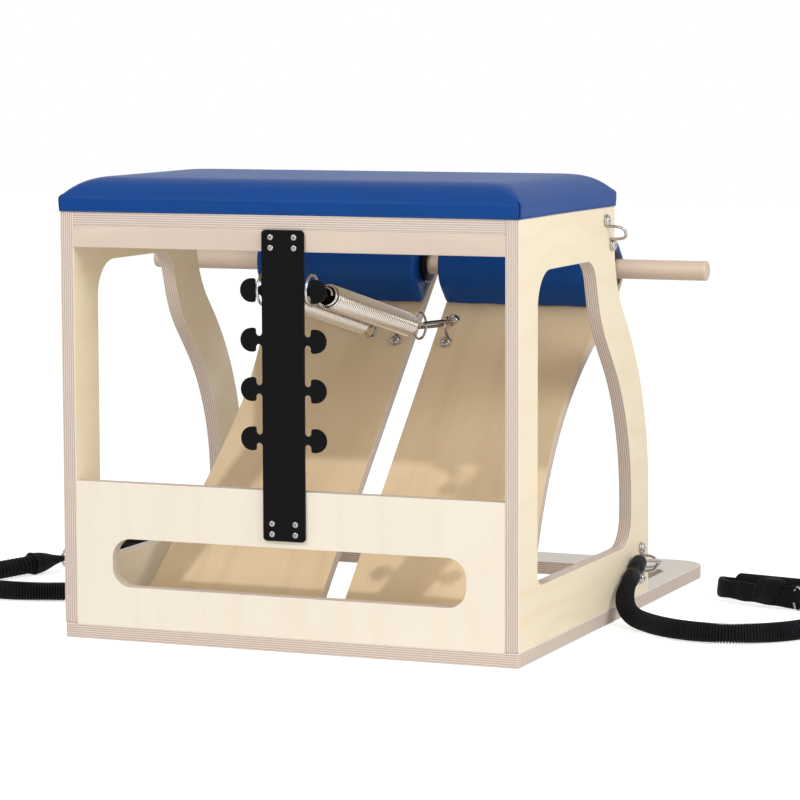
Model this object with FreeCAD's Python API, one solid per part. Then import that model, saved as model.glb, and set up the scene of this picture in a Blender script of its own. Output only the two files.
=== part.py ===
"""Pilates chair: a plywood seat box with two sprung pedals, a spring rack, a dowel and two arm cords.

Millimetres, +Z up. Pieces are laid out from the chair's rear face (Y = 0), its middle plane (X = 0) and the
floor (Z = 0). save() then moves each one so that the origin is the middle of the base's rear border,
underneath.
"""
import FreeCAD
import Part
import math
import os

V = FreeCAD.Vector
LEFT, RIGHT = -1, 1
SIDES = ((LEFT, "left"), (RIGHT, "right"))

# Plywood box
BOARD = 18.0
WIDTH = 610.0
BASE_DEPTH = 775.0
BASE_CORNER = 45.0
BASE_REAR_CORNER = 4.0
BASE_SIDE_BORDER = 33.0
BASE_FRONT_BORDER = 83.0
OPENING_CORNER = 30.0
PANEL_TOP = 538.0
SEAT_DEPTH = 354.0
PANEL_DEPTH = 500.0
KNEE_HEIGHT = 440.0
SLOPE_ANGLE = 43.0
KNEE_RADIUS = 134.0
BELLY_SHARE = 0.506
PANEL_CORNER = 3.0
WINDOW_REAR_BORDER = 66.0
WINDOW_TOP_BORDER = 65.6
WINDOW_FOOT_BORDER = 72.0
WINDOW_FRONT_BORDER = 72.0
WINDOW_NECK = 78.0
WINDOW_KNEE_INSET = 51.0
WINDOW_KNEE_RADIUS = 150.0
WINDOW_BELLY_SHARE = 0.834
WINDOW_REAR_RADIUS = 45.0
WINDOW_FRONT_RADIUS = 38.0
WINDOW_HEEL_RADIUS = 18.0
REAR_BOARD_TOP = 200.0
SLOT_BORDER = 67.5
SLOT_FLOOR = 68.5
SLOT_HEIGHT = 61.0
SLOT_CORNER = 25.0
RAIL_HEIGHT = 26.5

# Seat
SEAT_BOARD_INSET = 14.0
SEAT_BOARD_THICK = 12.0
CUSHION_HEIGHT = 48.0
CUSHION_SIDE = 21.0
CUSHION_SHOULDER = 52.0
CUSHION_CROWN = 5.0
CUSHION_OVERHANG = 2.0
CUSHION_HEM_RADIUS = 9.0
CUSHION_SHOULDER_RADIUS = 70.0

# Spring rack
RACK_PLATE = 4.0
RACK_HALF = 28.0
RACK_FOOT = 138.3
RACK_CORNER = 5.0
HOOK_DROP = 73.9
HOOK_PITCH = 60.7
HOOK_ROWS = 4
HOOK_NOTCH = 9.0
HOOK_HEAD_WIDTH = 20.0
HOOK_HEAD_HEIGHT = 29.4
HOOK_HEAD_CORNER = 3.0
HOOK_NECK = 10.0
RACK_SCREW_SPACING = 31.2
RACK_SCREW_INSET = 8.6
RACK_SCREW_STEP = 13.0

# Screws: head radius and height, shank radius and length
RACK_SCREW = (4.6, 2.4, 2.0, 16.0)
EYE_SCREW = (6.2, 3.6, 2.0, 15.0)
FRAME_SCREW = (5.2, 4.5, 2.5, 55.0)
HEAD_SIDES = 8
SHANK_SIDES = 4
HEAD_TAPER = 0.62
FRAME_SCREW_RISE = 5.0
PANEL_SCREWS = (60.0, 250.0, 440.0)
REAR_SCREW_X = 150.0

# Pad eyes
EYE_SPACING = 40.0
EYE_WIRE = 2.0
EYE_HALF_WIDTH = 13.0
EYE_REACH = 23.0
EYE_FOOT_RADIUS = 8.2
EYE_FOOT_THICK = 2.4
EYE_BEND = 10.0
WIRE_SIDES = 4
BEND_STEPS = 4
RING_SIDES = 24
FOOT_SIDES = 10
UPPER_EYE_INSET = 25.0
UPPER_EYE_Z = 505.0
UPPER_EYE_TILT = 127.0
LOWER_EYE_Y = 466.0
LOWER_EYE_Z = 61.0
LOWER_EYE_TILT = 90.0

# Pedals, measured from the hinge pin along the board
PIN_Y = 117.5
PIN_RADIUS = 2.0
PIN_PLAY = 0.15
KNUCKLE = 4.0
LEAF_THICK = 2.0
LEAF_REACH = 32.0
HINGE_LENGTH = 190.0
HINGE_MIDDLE = 70.0
HINGE_GAP = 0.4
HINGE_SWING_ROOM = 0.6
HINGE_X = 140.0
OPENING_SETBACK = 1.5
PEDAL_ANGLE = 44.8
PEDAL_THICK = 15.0
PEDAL_GAP = 33.0
PEDAL_START = 6.0
PEDAL_LENGTH = 621.0
PEDAL_SIDE_PLAY = 8.0
PEDAL_CALF = (246.0, 141.0)
PEDAL_WAIST = (228.4, 338.0)
PAD_HALF = 250.0
PAD_RADIUS = 45.0
PAD_RISE = 30.0
PAD_SKIN = 8.0
DOWEL_RADIUS = 13.0
DOWEL_LENGTH = 804.0
DOWEL_SHIFT = -20.0
DOWEL_CHAMFER = 2.0
DOWEL_PLAY = 0.3
DOWEL_CORE_PLAY = 1.0
COLLAR_RADIUS = 23.0
COLLAR_THICK = 7.0
PEDAL_EYE_X = 36.5
PEDAL_EYE_FROM_END = 138.0

# Springs, measured from the middle of the rack ring along the coil
SPRING_DROP = 11.6
SPRING_LEAN = {LEFT: -2.07, RIGHT: -1.3}
RING_RADIUS = 18.75
FAR_RING_RADIUS = 17.25
RING_WIRE = 1.75
RING_PLAY = 0.3
COIL_START = 50.5
COIL_RADIUS = 16.0
COIL_WIRE = 2.65
COIL_TURNS = 11
COIL_ARCS = 4
COIL_SIDES = 4
PLUG_PLAY = 0.3
PLUG_DEPTH = 25.0
PLUG_NOSE = 6.5
PLUG_SIDES = 10
FAR_EYE_FROM_COIL = 9.25
SNAP_LENGTH = 78.3
SNAP_SLACK = 5.0
SNAP_WIRE = 2.4
SNAP_HALF_WIDTH = 6.4

# Arm cords, with routes given for the right and the left side
CORD_RADIUS = 12.7
CORD_SIDES = 6
CORD_REST = 13.2
CORD_ROUTES = {
    RIGHT: [(318, 384, 51), (319, 363, 42.5), (323, 345, 30), (332, 332, 19.5), (345, 319, 14.2),
            (362, 302, 13.2), (388, 278, 13.2), (420, 260, 13.2), (457, 252, 13.2), (496, 257, 13.2),
            (533, 276, 13.2), (564, 310, 13.2), (584, 362, 13.2), (586, 408, 13.2), (570, 448, 13.2),
            (543, 476, 15)],
    LEFT: [(-318, 384, 51), (-319, 363, 42.5), (-323, 345, 30), (-332, 332, 19.5), (-345, 318, 14.2),
           (-361, 299, 13.2), (-387, 272, 13.2), (-422, 248, 13.2), (-463, 231, 13.2), (-508, 222, 13.2),
           (-553, 229, 13.2), (-591, 256, 13.2), (-612, 297, 13.2), (-613, 343, 13.2), (-600, 388, 13.2),
           (-583, 425, 15)],
}
CUFF_LENGTH = 62.0
CUFF_RADIUS = 10.5
CUFF_WAIST = 8.8
CUFF_SIDES = 10
CORD_SNAP_GRIP = 16.0
CAP_LENGTH = 42.0
CAP_RADIUS = 13.6
CAP_FLAT = 4.0
CAP_SOCKET = 0.4
CAP_FLAT_HEIGHT = 0.8
CORD_RING_RADIUS = 14.6
CORD_RING_WIRE = 1.9
STRAP_THICK = 3.0
STRAP_HEIGHT = 22.0
STRAP_BEND = 4.5
STRAP_TIP_REACH = 4.3
GRIP_RADIUS = 17.0
GRIP_BORE = 12.2
GRIP_SIDES = 16
GRIP_LENGTH = 112.0
STRAP_CORNERS = {RIGHT: ((528, 566), (386, 596), (379, 563)), LEFT: ((-448, 604), (-584, 648))}

TINY = 1e-4


def unit(vector):
    return V(vector) / vector.Length


def corner_arc(before, here, after, radius):
    """Start, middle and end of the arc of that radius that rounds the corner at here."""
    back = unit(before - here)
    ahead = unit(after - here)
    half = back.getAngle(ahead) / 2
    reach = radius / math.tan(half)
    middle = here + unit(back + ahead) * (radius / math.sin(half) - radius)
    return here + back * reach, middle, here + ahead * reach


def rounded_edges(points, radii, closed):
    """Straight runs through the points, each corner rounded by a tangent arc of its own radius."""
    count = len(points)
    corners = []
    for i in range(count):
        is_end = not closed and i in (0, count - 1)
        if is_end or radii[i] == 0:
            corners.append((points[i], None, points[i]))
        else:
            corners.append(corner_arc(points[i - 1], points[i], points[(i + 1) % count], radii[i]))
    edges = []
    for i, (start, middle, end) in enumerate(corners):
        if middle is not None:
            edges.append(Part.Arc(start, middle, end).toShape())
        following = corners[(i + 1) % count][0]
        is_last = not closed and i == count - 1
        if not is_last and (following - end).Length > TINY:
            edges.append(Part.LineSegment(end, following).toShape())
    return edges


def slab(axis, level, thickness, corners):
    """Plate square to an axis: an outline of (a, b, radius) corners in the other two, at level, extruded."""
    lift = {
        "x": lambda a, b: V(level, a, b),
        "y": lambda a, b: V(a, level, b),
        "z": lambda a, b: V(a, b, level),
    }[axis]
    way = {"x": V(1, 0, 0), "y": V(0, 1, 0), "z": V(0, 0, 1)}[axis]
    points = [lift(a, b) for a, b, _ in corners]
    outline = Part.Wire(rounded_edges(points, [radius for _, _, radius in corners], True))
    return Part.Face(outline).extrude(way * thickness)


def rectangle(a0, b0, a1, b1, radius=0.0):
    return [(a0, b0, radius), (a1, b0, radius), (a1, b1, radius), (a0, b1, radius)]


def box(x0, y0, z0, x1, y1, z1):
    return Part.makeBox(x1 - x0, y1 - y0, z1 - z0, V(x0, y0, z0))


def frame_along(origin, direction):
    """Placement whose local Y runs along the direction, with local X level and local Z upward."""
    y = unit(direction)
    x = unit(y.cross(V(0, 0, 1)))
    z = x.cross(y)
    return FreeCAD.Placement(FreeCAD.Matrix(
        x.x, y.x, z.x, origin.x, x.y, y.y, z.y, origin.y, x.z, y.z, z.z, origin.z, 0, 0, 0, 1))


def placed(shape, placement):
    moved = shape.copy()
    moved.Placement = placement.multiply(moved.Placement)
    return moved


def mirrored(shape):
    return shape.mirror(V(0, 0, 0), V(1, 0, 0))


def sided(shape, side):
    """A piece drawn for the right-hand side, or its mirror image for the left."""
    return shape if side == RIGHT else mirrored(shape)


def polygon_points(centre, normal, radius, sides, phase=0.0):
    """Corners of a regular polygon square to the normal."""
    axis = unit(normal)
    helper = V(0, 0, 1) if abs(axis.z) < 0.9 else V(1, 0, 0)
    across = unit(helper.cross(axis))
    up = axis.cross(across)
    points = []
    for k in range(sides):
        angle = 2 * math.pi * (k + phase) / sides
        points.append(centre + across * (radius * math.cos(angle)) + up * (radius * math.sin(angle)))
    return points


def polygon(centre, normal, radius, sides, phase=0.0):
    points = polygon_points(centre, normal, radius, sides, phase)
    return Part.makePolygon(points + points[:1])


def facets(rings, closed=False):
    """Solid with flat faces between rings of points: its ends are flat, or its last ring joins its first."""
    count = len(rings[0])
    points = [point for ring in rings for point in ring]
    steps = [(k, k + 1) for k in range(len(rings) - 1)]
    if closed:
        steps.append((len(rings) - 1, 0))
    triangles = []
    for low, high in steps:
        for k in range(count):
            following = (k + 1) % count
            a, b = low * count + k, low * count + following
            c, d = high * count + following, high * count + k
            triangles += [(a, b, c), (a, c, d)]
    if not closed:
        last = (len(rings) - 1) * count
        for k in range(1, count - 1):
            triangles += [(0, k + 1, k), (last, last + k, last + k + 1)]
    skin = Part.Shape()
    skin.makeShapeFromMesh((points, triangles), TINY)
    solid = Part.makeSolid(skin.removeSplitter())
    if solid.Volume < 0:
        solid.reverse()
    return solid


def bent_path(points, radius, closed):
    """Points along straight runs whose corners are rounded in BEND_STEPS flats."""
    count = len(points)
    path = []
    for i, here in enumerate(points):
        if not closed and i in (0, count - 1):
            path.append(here)
            continue
        start, middle, end = corner_arc(points[i - 1], here, points[(i + 1) % count], radius)
        arc = Part.Arc(start, middle, end)
        span = arc.LastParameter - arc.FirstParameter
        path += [arc.value(arc.FirstParameter + span * k / BEND_STEPS) for k in range(BEND_STEPS + 1)]
    return [here for i, here in enumerate(path) if (here - path[i - 1]).Length > TINY]


def wire_form(path, normal, radius, closed):
    """Faceted wire along a path in the plane of that normal, mitred at every bend."""
    section = polygon_points(V(0, 0, 0), V(0, 0, 1), radius, WIRE_SIDES, 0.5)
    count = len(path)
    rings = []
    for i, here in enumerate(path):
        back = unit(here - path[i - 1]) if closed or i > 0 else None
        ahead = unit(path[(i + 1) % count] - here) if closed or i < count - 1 else None
        heading = unit((back or ahead) + (ahead or back))
        stretch = 1 / heading.dot(ahead or back)
        across = normal.cross(heading) * stretch
        rings.append([here + across * corner.x + normal * corner.y for corner in section])
    return facets(rings, closed)


def prism(centre, direction, radius, sides, phase=0.0):
    return Part.Face(polygon(centre, direction, radius, sides, phase)).extrude(direction)


def tube_along(edges, start, heading, radius, sides):
    """Faceted rod swept along a run of tangent edges."""
    section = polygon(start, heading, radius, sides, 0.5)
    return Part.Wire(edges).makePipeShell([section], True, False)


def ring(major, wire):
    """Wire ring about the local X axis, its flats at that radius."""
    corner = major / math.cos(math.pi / RING_SIDES)
    path = polygon_points(V(0, 0, 0), V(1, 0, 0), corner, RING_SIDES, 0.5)
    return wire_form(path, V(1, 0, 0), wire, True)


def dome_screw(sizes):
    """Screw along local Z: tapered head above the plane Z = 0, shank below it."""
    head_radius, head_height, shank_radius, shank_length = sizes
    rim = polygon_points(V(0, 0, 0), V(0, 0, 1), head_radius, HEAD_SIDES)
    crown = polygon_points(V(0, 0, head_height), V(0, 0, 1), head_radius * HEAD_TAPER, HEAD_SIDES)
    shank = prism(V(0, 0, -shank_length), V(0, 0, shank_length), shank_radius, SHANK_SIDES)
    return facets([rim, crown]).fuse(shank)


def facing(position, direction):
    return FreeCAD.Placement(position, FreeCAD.Rotation(V(0, 0, 1), direction))


def save(name, *shapes):
    """Write one node, moved so that the origin is the middle of the base's rear border."""
    shape = shapes[0] if len(shapes) == 1 else Part.makeCompound(list(shapes))
    moved = shape.copy()
    moved.translate(V(0, -OPENING_REAR / 2, 0))
    moved.exportStep("parts/" + name + ".step")


# Places that several pieces share
INNER = WIDTH / 2 - BOARD
SEAT_UNDER = PANEL_TOP - BOARD
RAIL_UNDER = SEAT_UNDER - RAIL_HEIGHT
PIN_Z = BOARD + KNUCKLE
OPENING_REAR = PIN_Y - KNUCKLE - OPENING_SETBACK
OPENING_FRONT = BASE_DEPTH - BASE_FRONT_BORDER
OPENING_HALF = WIDTH / 2 - BASE_SIDE_BORDER
SLOT_WIDTH = WIDTH - 2 * SLOT_BORDER
UPPER_EYE_Y = SEAT_DEPTH - UPPER_EYE_INSET
PEDAL_PLACE = FreeCAD.Placement(V(0, PIN_Y, PIN_Z), FreeCAD.Rotation(V(1, 0, 0), PEDAL_ANGLE))
PAD_Y = PEDAL_LENGTH - PAD_RADIUS
PAD_INNER = PEDAL_GAP / 2
PAD_AXIS_Z = PAD_RISE - KNUCKLE
PEDAL_EYE_Y = PEDAL_LENGTH - PEDAL_EYE_FROM_END
NOTCH_X = RACK_HALF + HOOK_NOTCH / 2
TOP_HOOK = SEAT_UNDER - HOOK_DROP
HOOK_LOWEST = TOP_HOOK - HOOK_PITCH * (HOOK_ROWS - 1)
RING_REACH = math.sqrt((RING_RADIUS - RING_WIRE - RING_PLAY) ** 2 - (HOOK_NECK / 2) ** 2)
RACK_RING_Y = RING_REACH - RACK_PLATE
COIL_MEAN = COIL_RADIUS - COIL_WIRE
PLUG_RADIUS = COIL_RADIUS - 2 * COIL_WIRE - PLUG_PLAY


def spring_start(side):
    """Middle of the rack ring, and the direction in which the coil hangs from it."""
    drop = math.radians(SPRING_DROP)
    lean = math.radians(SPRING_LEAN[side])
    return V(side * NOTCH_X, RACK_RING_Y, TOP_HOOK), unit(V(math.sin(lean), math.cos(drop), -math.sin(drop)))


def snap_anchor(side):
    """Middle of the snap's far end wire, under the bail of the pedal's eye."""
    rise = EYE_REACH - EYE_WIRE - RING_PLAY - SNAP_WIRE
    return PEDAL_PLACE.multVec(V(side * PEDAL_EYE_X, PEDAL_EYE_Y, rise - KNUCKLE))


def far_eye_reach(side):
    """Distance along the coil to the far plug's eye, from which ring and snap just reach the pedal."""
    start, way = spring_start(side)
    to_anchor = snap_anchor(side) - start
    along = to_anchor.dot(way)
    aside = (to_anchor - way * along).Length
    span = FAR_RING_RADIUS - SNAP_SLACK + SNAP_LENGTH
    return along - math.sqrt(span * span - aside * aside)


FAR_EYE = min(far_eye_reach(side) for side, _ in SIDES)
COIL_LENGTH = FAR_EYE - FAR_EYE_FROM_COIL - COIL_START


def screw_set(sizes, seats):
    """One screw for each (position of the head's seat, outward direction)."""
    return [placed(dome_screw(sizes), facing(position, way)) for position, way in seats]


def without(shape, tools):
    for tool in tools:
        shape = shape.cut(tool)
    return shape


def rack_screw_seats():
    seats = []
    for x in (-RACK_SCREW_SPACING / 2, RACK_SCREW_SPACING / 2):
        for step in (0, 1):
            drop = RACK_SCREW_INSET + step * RACK_SCREW_STEP
            seats.append((V(x, -RACK_PLATE, SEAT_UNDER - drop), V(0, -1, 0)))
            seats.append((V(x, -RACK_PLATE, RACK_FOOT + drop), V(0, -1, 0)))
    return seats


def frame_screw_seats():
    panel_x = INNER + BOARD / 2
    seats = [(V(side * panel_x, y, FRAME_SCREW_RISE), V(0, 0, -1)) for side, _ in SIDES for y in PANEL_SCREWS]
    seats += [(V(side * REAR_SCREW_X, BOARD / 2, FRAME_SCREW_RISE), V(0, 0, -1)) for side, _ in SIDES]
    return seats


def eye_places(side):
    """Placements of the upper and lower eye on a side panel: local X along the feet, local Z outward."""
    places = []
    upper = (UPPER_EYE_Y, UPPER_EYE_Z, UPPER_EYE_TILT)
    lower = (LOWER_EYE_Y, LOWER_EYE_Z, LOWER_EYE_TILT)
    for y, z, tilt in (upper, lower):
        angle = math.radians(tilt)
        along = V(0, math.cos(angle), math.sin(angle))
        outward = V(side, 0, 0)
        across = outward.cross(along)
        places.append(FreeCAD.Placement(FreeCAD.Matrix(
            along.x, across.x, outward.x, side * WIDTH / 2, along.y, across.y, outward.y, y,
            along.z, across.z, outward.z, z, 0, 0, 0, 1)))
    return places


def eye_seats():
    return [V(end * EYE_SPACING / 2, 0, EYE_FOOT_THICK) for end in (LEFT, RIGHT)]


def eye_screws():
    return screw_set(EYE_SCREW, [(seat, V(0, 0, 1)) for seat in eye_seats()])


def pad_eye():
    """Footman loop standing on local Z = 0: two washer feet and a wire bail between them."""
    root = EYE_FOOT_THICK / 2
    points = [V(-EYE_HALF_WIDTH, 0, root), V(-EYE_HALF_WIDTH, 0, EYE_REACH),
              V(EYE_HALF_WIDTH, 0, EYE_REACH), V(EYE_HALF_WIDTH, 0, root)]
    bail = wire_form(bent_path(points, EYE_BEND, False), V(0, 1, 0), EYE_WIRE, False)
    for seat in eye_seats():
        foot = V(seat.x, seat.y, 0)
        bail = bail.fuse(prism(foot, V(0, 0, EYE_FOOT_THICK), EYE_FOOT_RADIUS, FOOT_SIDES))
    return without(bail, eye_screws())


def base_board():
    half = WIDTH / 2
    outline = [(-half, 0, BASE_REAR_CORNER), (half, 0, BASE_REAR_CORNER),
               (half, BASE_DEPTH, BASE_CORNER), (-half, BASE_DEPTH, BASE_CORNER)]
    opening = rectangle(-OPENING_HALF, OPENING_REAR, OPENING_HALF, OPENING_FRONT, OPENING_CORNER)
    board = slab("z", 0, BOARD, outline).cut(slab("z", 0, BOARD, opening))
    bores = [prism(V(seat.x, seat.y, 0), V(0, 0, FRAME_SCREW_RISE), FRAME_SCREW[0], HEAD_SIDES)
             for seat, _ in frame_screw_seats()]
    return without(board, bores + screw_set(FRAME_SCREW, frame_screw_seats()))


def panel_outline():
    """Side view of the panel: upright under the seat, sloping out at the knee, upright again at the foot."""
    run = PANEL_DEPTH - SEAT_DEPTH
    slope = math.radians(SLOPE_ANGLE)
    belly_height = KNEE_HEIGHT - run / math.tan(slope)
    belly_radius = BELLY_SHARE * (belly_height - BOARD) / math.tan(slope / 2)
    return [(0, BOARD, PANEL_CORNER), (PANEL_DEPTH, BOARD, 0), (PANEL_DEPTH, belly_height, belly_radius),
            (SEAT_DEPTH, KNEE_HEIGHT, KNEE_RADIUS), (SEAT_DEPTH, PANEL_TOP, PANEL_CORNER), (0, PANEL_TOP, 0)]


def window_outline():
    """The window keeps a steady border along the panel's sloping front edge."""
    slope = math.radians(SLOPE_ANGLE)
    front = PANEL_DEPTH - WINDOW_FRONT_BORDER
    knee_y = SEAT_DEPTH - WINDOW_KNEE_INSET
    inset = WINDOW_FRONT_BORDER * math.tan(slope / 2)
    knee_z = KNEE_HEIGHT - inset - (WINDOW_FRONT_BORDER - WINDOW_KNEE_INSET) / math.tan(slope)
    belly_z = knee_z - (front - knee_y) / math.tan(slope)
    top = PANEL_TOP - WINDOW_TOP_BORDER
    foot = BOARD + WINDOW_FOOT_BORDER
    upright = belly_z - foot - WINDOW_FRONT_RADIUS
    belly_radius = WINDOW_BELLY_SHARE * upright / math.tan(slope / 2)
    return [(WINDOW_REAR_BORDER, foot, WINDOW_HEEL_RADIUS), (front, foot, WINDOW_FRONT_RADIUS),
            (front, belly_z, belly_radius), (knee_y, knee_z, WINDOW_KNEE_RADIUS),
            (SEAT_DEPTH - WINDOW_NECK, top, WINDOW_FRONT_RADIUS),
            (WINDOW_REAR_BORDER, top, WINDOW_REAR_RADIUS)]


def side_panel(side):
    start = INNER if side == RIGHT else -WIDTH / 2
    panel = slab("x", start, BOARD, panel_outline()).cut(slab("x", start, BOARD, window_outline()))
    fixings = [placed(screw, place) for place in eye_places(side) for screw in eye_screws()]
    return without(panel, fixings + screw_set(FRAME_SCREW, frame_screw_seats()))


def rear_board():
    board = box(-INNER, 0, BOARD, INNER, BOARD, REAR_BOARD_TOP)
    slot = rectangle(-SLOT_WIDTH / 2, SLOT_FLOOR, SLOT_WIDTH / 2, SLOT_FLOOR + SLOT_HEIGHT, SLOT_CORNER)
    board = board.cut(slab("y", 0, BOARD, slot))
    fixings = screw_set(RACK_SCREW, rack_screw_seats()) + screw_set(FRAME_SCREW, frame_screw_seats())
    return without(board, fixings)


def rear_rail():
    rail = box(-INNER, 0, RAIL_UNDER, INNER, BOARD, SEAT_UNDER)
    return without(rail, screw_set(RACK_SCREW, rack_screw_seats()))


def seat_board():
    return box(-INNER, 0, SEAT_UNDER, INNER, SEAT_DEPTH, PANEL_TOP)


def seat_pad_board():
    half = WIDTH / 2 - SEAT_BOARD_INSET
    return box(-half, SEAT_BOARD_INSET, PANEL_TOP, half, SEAT_DEPTH - SEAT_BOARD_INSET,
               PANEL_TOP + SEAT_BOARD_THICK)


def crowned_profile(low, high):
    """Upright sides, a long soft shoulder and a shallow crown between low and high."""
    middle = (low + high) / 2
    side = PANEL_TOP + CUSHION_SIDE
    top = PANEL_TOP + CUSHION_HEIGHT
    shoulder = top - CUSHION_CROWN
    flat = (high - low) / 2 - CUSHION_SHOULDER
    crown_radius = 0.8 * flat * flat / (2 * CUSHION_CROWN)
    return [(low, PANEL_TOP, 0), (high, PANEL_TOP, 0), (high, side, CUSHION_HEM_RADIUS),
            (high - CUSHION_SHOULDER, shoulder, CUSHION_SHOULDER_RADIUS), (middle, top, crown_radius),
            (low + CUSHION_SHOULDER, shoulder, CUSHION_SHOULDER_RADIUS), (low, side, CUSHION_HEM_RADIUS)]


def seat_cushion():
    """Crowned both ways: where the lengthwise and the crosswise profile meet, the corners are mitred."""
    half = WIDTH / 2 + CUSHION_OVERHANG
    rear = -CUSHION_OVERHANG
    front = SEAT_DEPTH + CUSHION_OVERHANG
    across = slab("y", rear, front - rear, crowned_profile(-half, half))
    along = slab("x", -half, 2 * half, crowned_profile(rear, front))
    return across.common(along).cut(seat_pad_board())


def rack_hook(height):
    """Corners of a mushroom hook on the plate's right edge, upward: notch, neck and a round-backed head."""
    head_start = RACK_HALF + HOOK_NOTCH
    head_end = head_start + HOOK_HEAD_WIDTH
    half = HOOK_HEAD_HEIGHT / 2
    notch = HOOK_NOTCH / 2
    under = [(RACK_HALF, -HOOK_NECK / 2, notch), (head_start, -HOOK_NECK / 2, notch),
             (head_start, -half, HOOK_HEAD_CORNER), (head_end, -half, half)]
    over = [(x, -rise, radius) for x, rise, radius in reversed(under)]
    return [(x, height + rise, radius) for x, rise, radius in under + over]


def spring_rack():
    right = [(RACK_HALF, RACK_FOOT, RACK_CORNER)]
    for row in range(HOOK_ROWS):
        right += rack_hook(HOOK_LOWEST + row * HOOK_PITCH)
    right.append((RACK_HALF, SEAT_UNDER, RACK_CORNER))
    left = [(-x, z, radius) for x, z, radius in reversed(right)]
    plate = slab("y", -RACK_PLATE, RACK_PLATE, right + left)
    return without(plate, screw_set(RACK_SCREW, rack_screw_seats()))


def barrel(radius, x0, x1):
    return Part.makeCylinder(radius, x1 - x0, V(x0, 0, 0), V(1, 0, 0))


def hinge_leaf(knuckles, gaps):
    """Leaf lying along +Y under the pin: rolled into knuckles at some stretches, cut back at the others."""
    room = KNUCKLE + HINGE_SWING_ROOM
    half = HINGE_LENGTH / 2
    leaf = box(HINGE_X - half, 0, -KNUCKLE, HINGE_X + half, LEAF_REACH, LEAF_THICK - KNUCKLE)
    for x0, x1 in gaps:
        leaf = leaf.cut(box(x0 - HINGE_GAP, 0, -KNUCKLE, x1 + HINGE_GAP, room, LEAF_THICK - KNUCKLE))
    return leaf.multiFuse([barrel(KNUCKLE, x0, x1) for x0, x1 in knuckles])


def hinge_stretches():
    """The base leaf's two end knuckles, and the pedal leaf's middle one."""
    half = HINGE_LENGTH / 2
    middle = HINGE_MIDDLE / 2
    ends = [(HINGE_X - half, HINGE_X - middle - HINGE_GAP), (HINGE_X + middle + HINGE_GAP, HINGE_X + half)]
    return ends, [(HINGE_X - middle, HINGE_X + middle)]


def hinge_base_leaf():
    """Base leaf with the pin fast in its knuckles."""
    ends, middle = hinge_stretches()
    leaf = hinge_leaf(ends, middle)
    turn = FreeCAD.Placement(V(0, PIN_Y, PIN_Z), FreeCAD.Rotation())
    flipped = leaf.mirror(V(0, 0, 0), V(0, 1, 0))
    pin = barrel(PIN_RADIUS, HINGE_X - HINGE_LENGTH / 2, HINGE_X + HINGE_LENGTH / 2)
    return placed(flipped.fuse(pin), turn)


def hinge_pedal_leaf():
    ends, middle = hinge_stretches()
    bore = barrel(PIN_RADIUS + PIN_PLAY, HINGE_X - HINGE_LENGTH / 2, HINGE_X + HINGE_LENGTH / 2)
    return hinge_leaf(middle, ends).cut(bore)


def pedal_eye_place():
    return FreeCAD.Placement(V(PEDAL_EYE_X, PEDAL_EYE_Y, -KNUCKLE), FreeCAD.Rotation(V(0, 0, 1), 90))


def pedal_board():
    """Board drawn flat under the pin: straight inner edge, waisted outer edge, its upper face at -KNUCKLE."""
    under = -KNUCKLE - PEDAL_THICK
    inner = PEDAL_GAP / 2
    foot = V(OPENING_HALF - PEDAL_SIDE_PLAY, PEDAL_START, under)
    pad_corner = V(PAD_HALF, PEDAL_LENGTH - 2 * PAD_RADIUS, under)
    waist = Part.BSplineCurve()
    waist.interpolate([foot, V(*PEDAL_CALF, under), V(*PEDAL_WAIST, under), pad_corner])
    straight = [pad_corner, V(PAD_HALF, PEDAL_LENGTH, under), V(inner, PEDAL_LENGTH, under),
                V(inner, PEDAL_START, under), foot]
    edges = [waist.toShape()]
    edges += [Part.LineSegment(a, b).toShape() for a, b in zip(straight, straight[1:])]
    board = Part.Face(Part.Wire(edges)).extrude(V(0, 0, PEDAL_THICK))
    return without(board, [placed(screw, pedal_eye_place()) for screw in eye_screws()])


def pad_profile(radius):
    floor = -KNUCKLE
    return [(PAD_Y - radius, floor, 0), (PAD_Y + radius, floor, 0),
            (PAD_Y + radius, PAD_AXIS_Z + radius, radius), (PAD_Y - radius, PAD_AXIS_Z + radius, radius)]


def on_dowel(radius, x0, x1):
    return Part.makeCylinder(radius, x1 - x0, V(x0, PAD_Y, PAD_AXIS_Z), V(1, 0, 0))


def pad_core():
    inner = PAD_INNER + PAD_SKIN
    outer = PAD_HALF - PAD_SKIN
    core = slab("x", inner, outer - inner, pad_profile(PAD_RADIUS - PAD_SKIN))
    return core.cut(on_dowel(DOWEL_RADIUS + DOWEL_CORE_PLAY, inner, outer))


def pad_cover():
    inner = PAD_INNER + PAD_SKIN
    outer = PAD_HALF - PAD_SKIN
    cover = slab("x", PAD_INNER, PAD_HALF - PAD_INNER, pad_profile(PAD_RADIUS))
    cover = cover.cut(slab("x", inner, outer - inner, pad_profile(PAD_RADIUS - PAD_SKIN)))
    return cover.cut(on_dowel(DOWEL_RADIUS + DOWEL_CORE_PLAY, PAD_INNER, PAD_HALF))


def dowel_collars():
    collars = []
    for start in (PAD_INNER - COLLAR_THICK, PAD_HALF):
        collar = on_dowel(COLLAR_RADIUS, start, start + COLLAR_THICK)
        collars.append(collar.cut(on_dowel(DOWEL_RADIUS + DOWEL_PLAY, start, start + COLLAR_THICK)))
    return collars


def dowel():
    low = DOWEL_SHIFT - DOWEL_LENGTH / 2
    rod = on_dowel(DOWEL_RADIUS, low, low + DOWEL_LENGTH)
    rims = [edge for edge in rod.Edges if isinstance(edge.Curve, Part.Circle)]
    return rod.makeChamfer(DOWEL_CHAMFER, rims)


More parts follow.
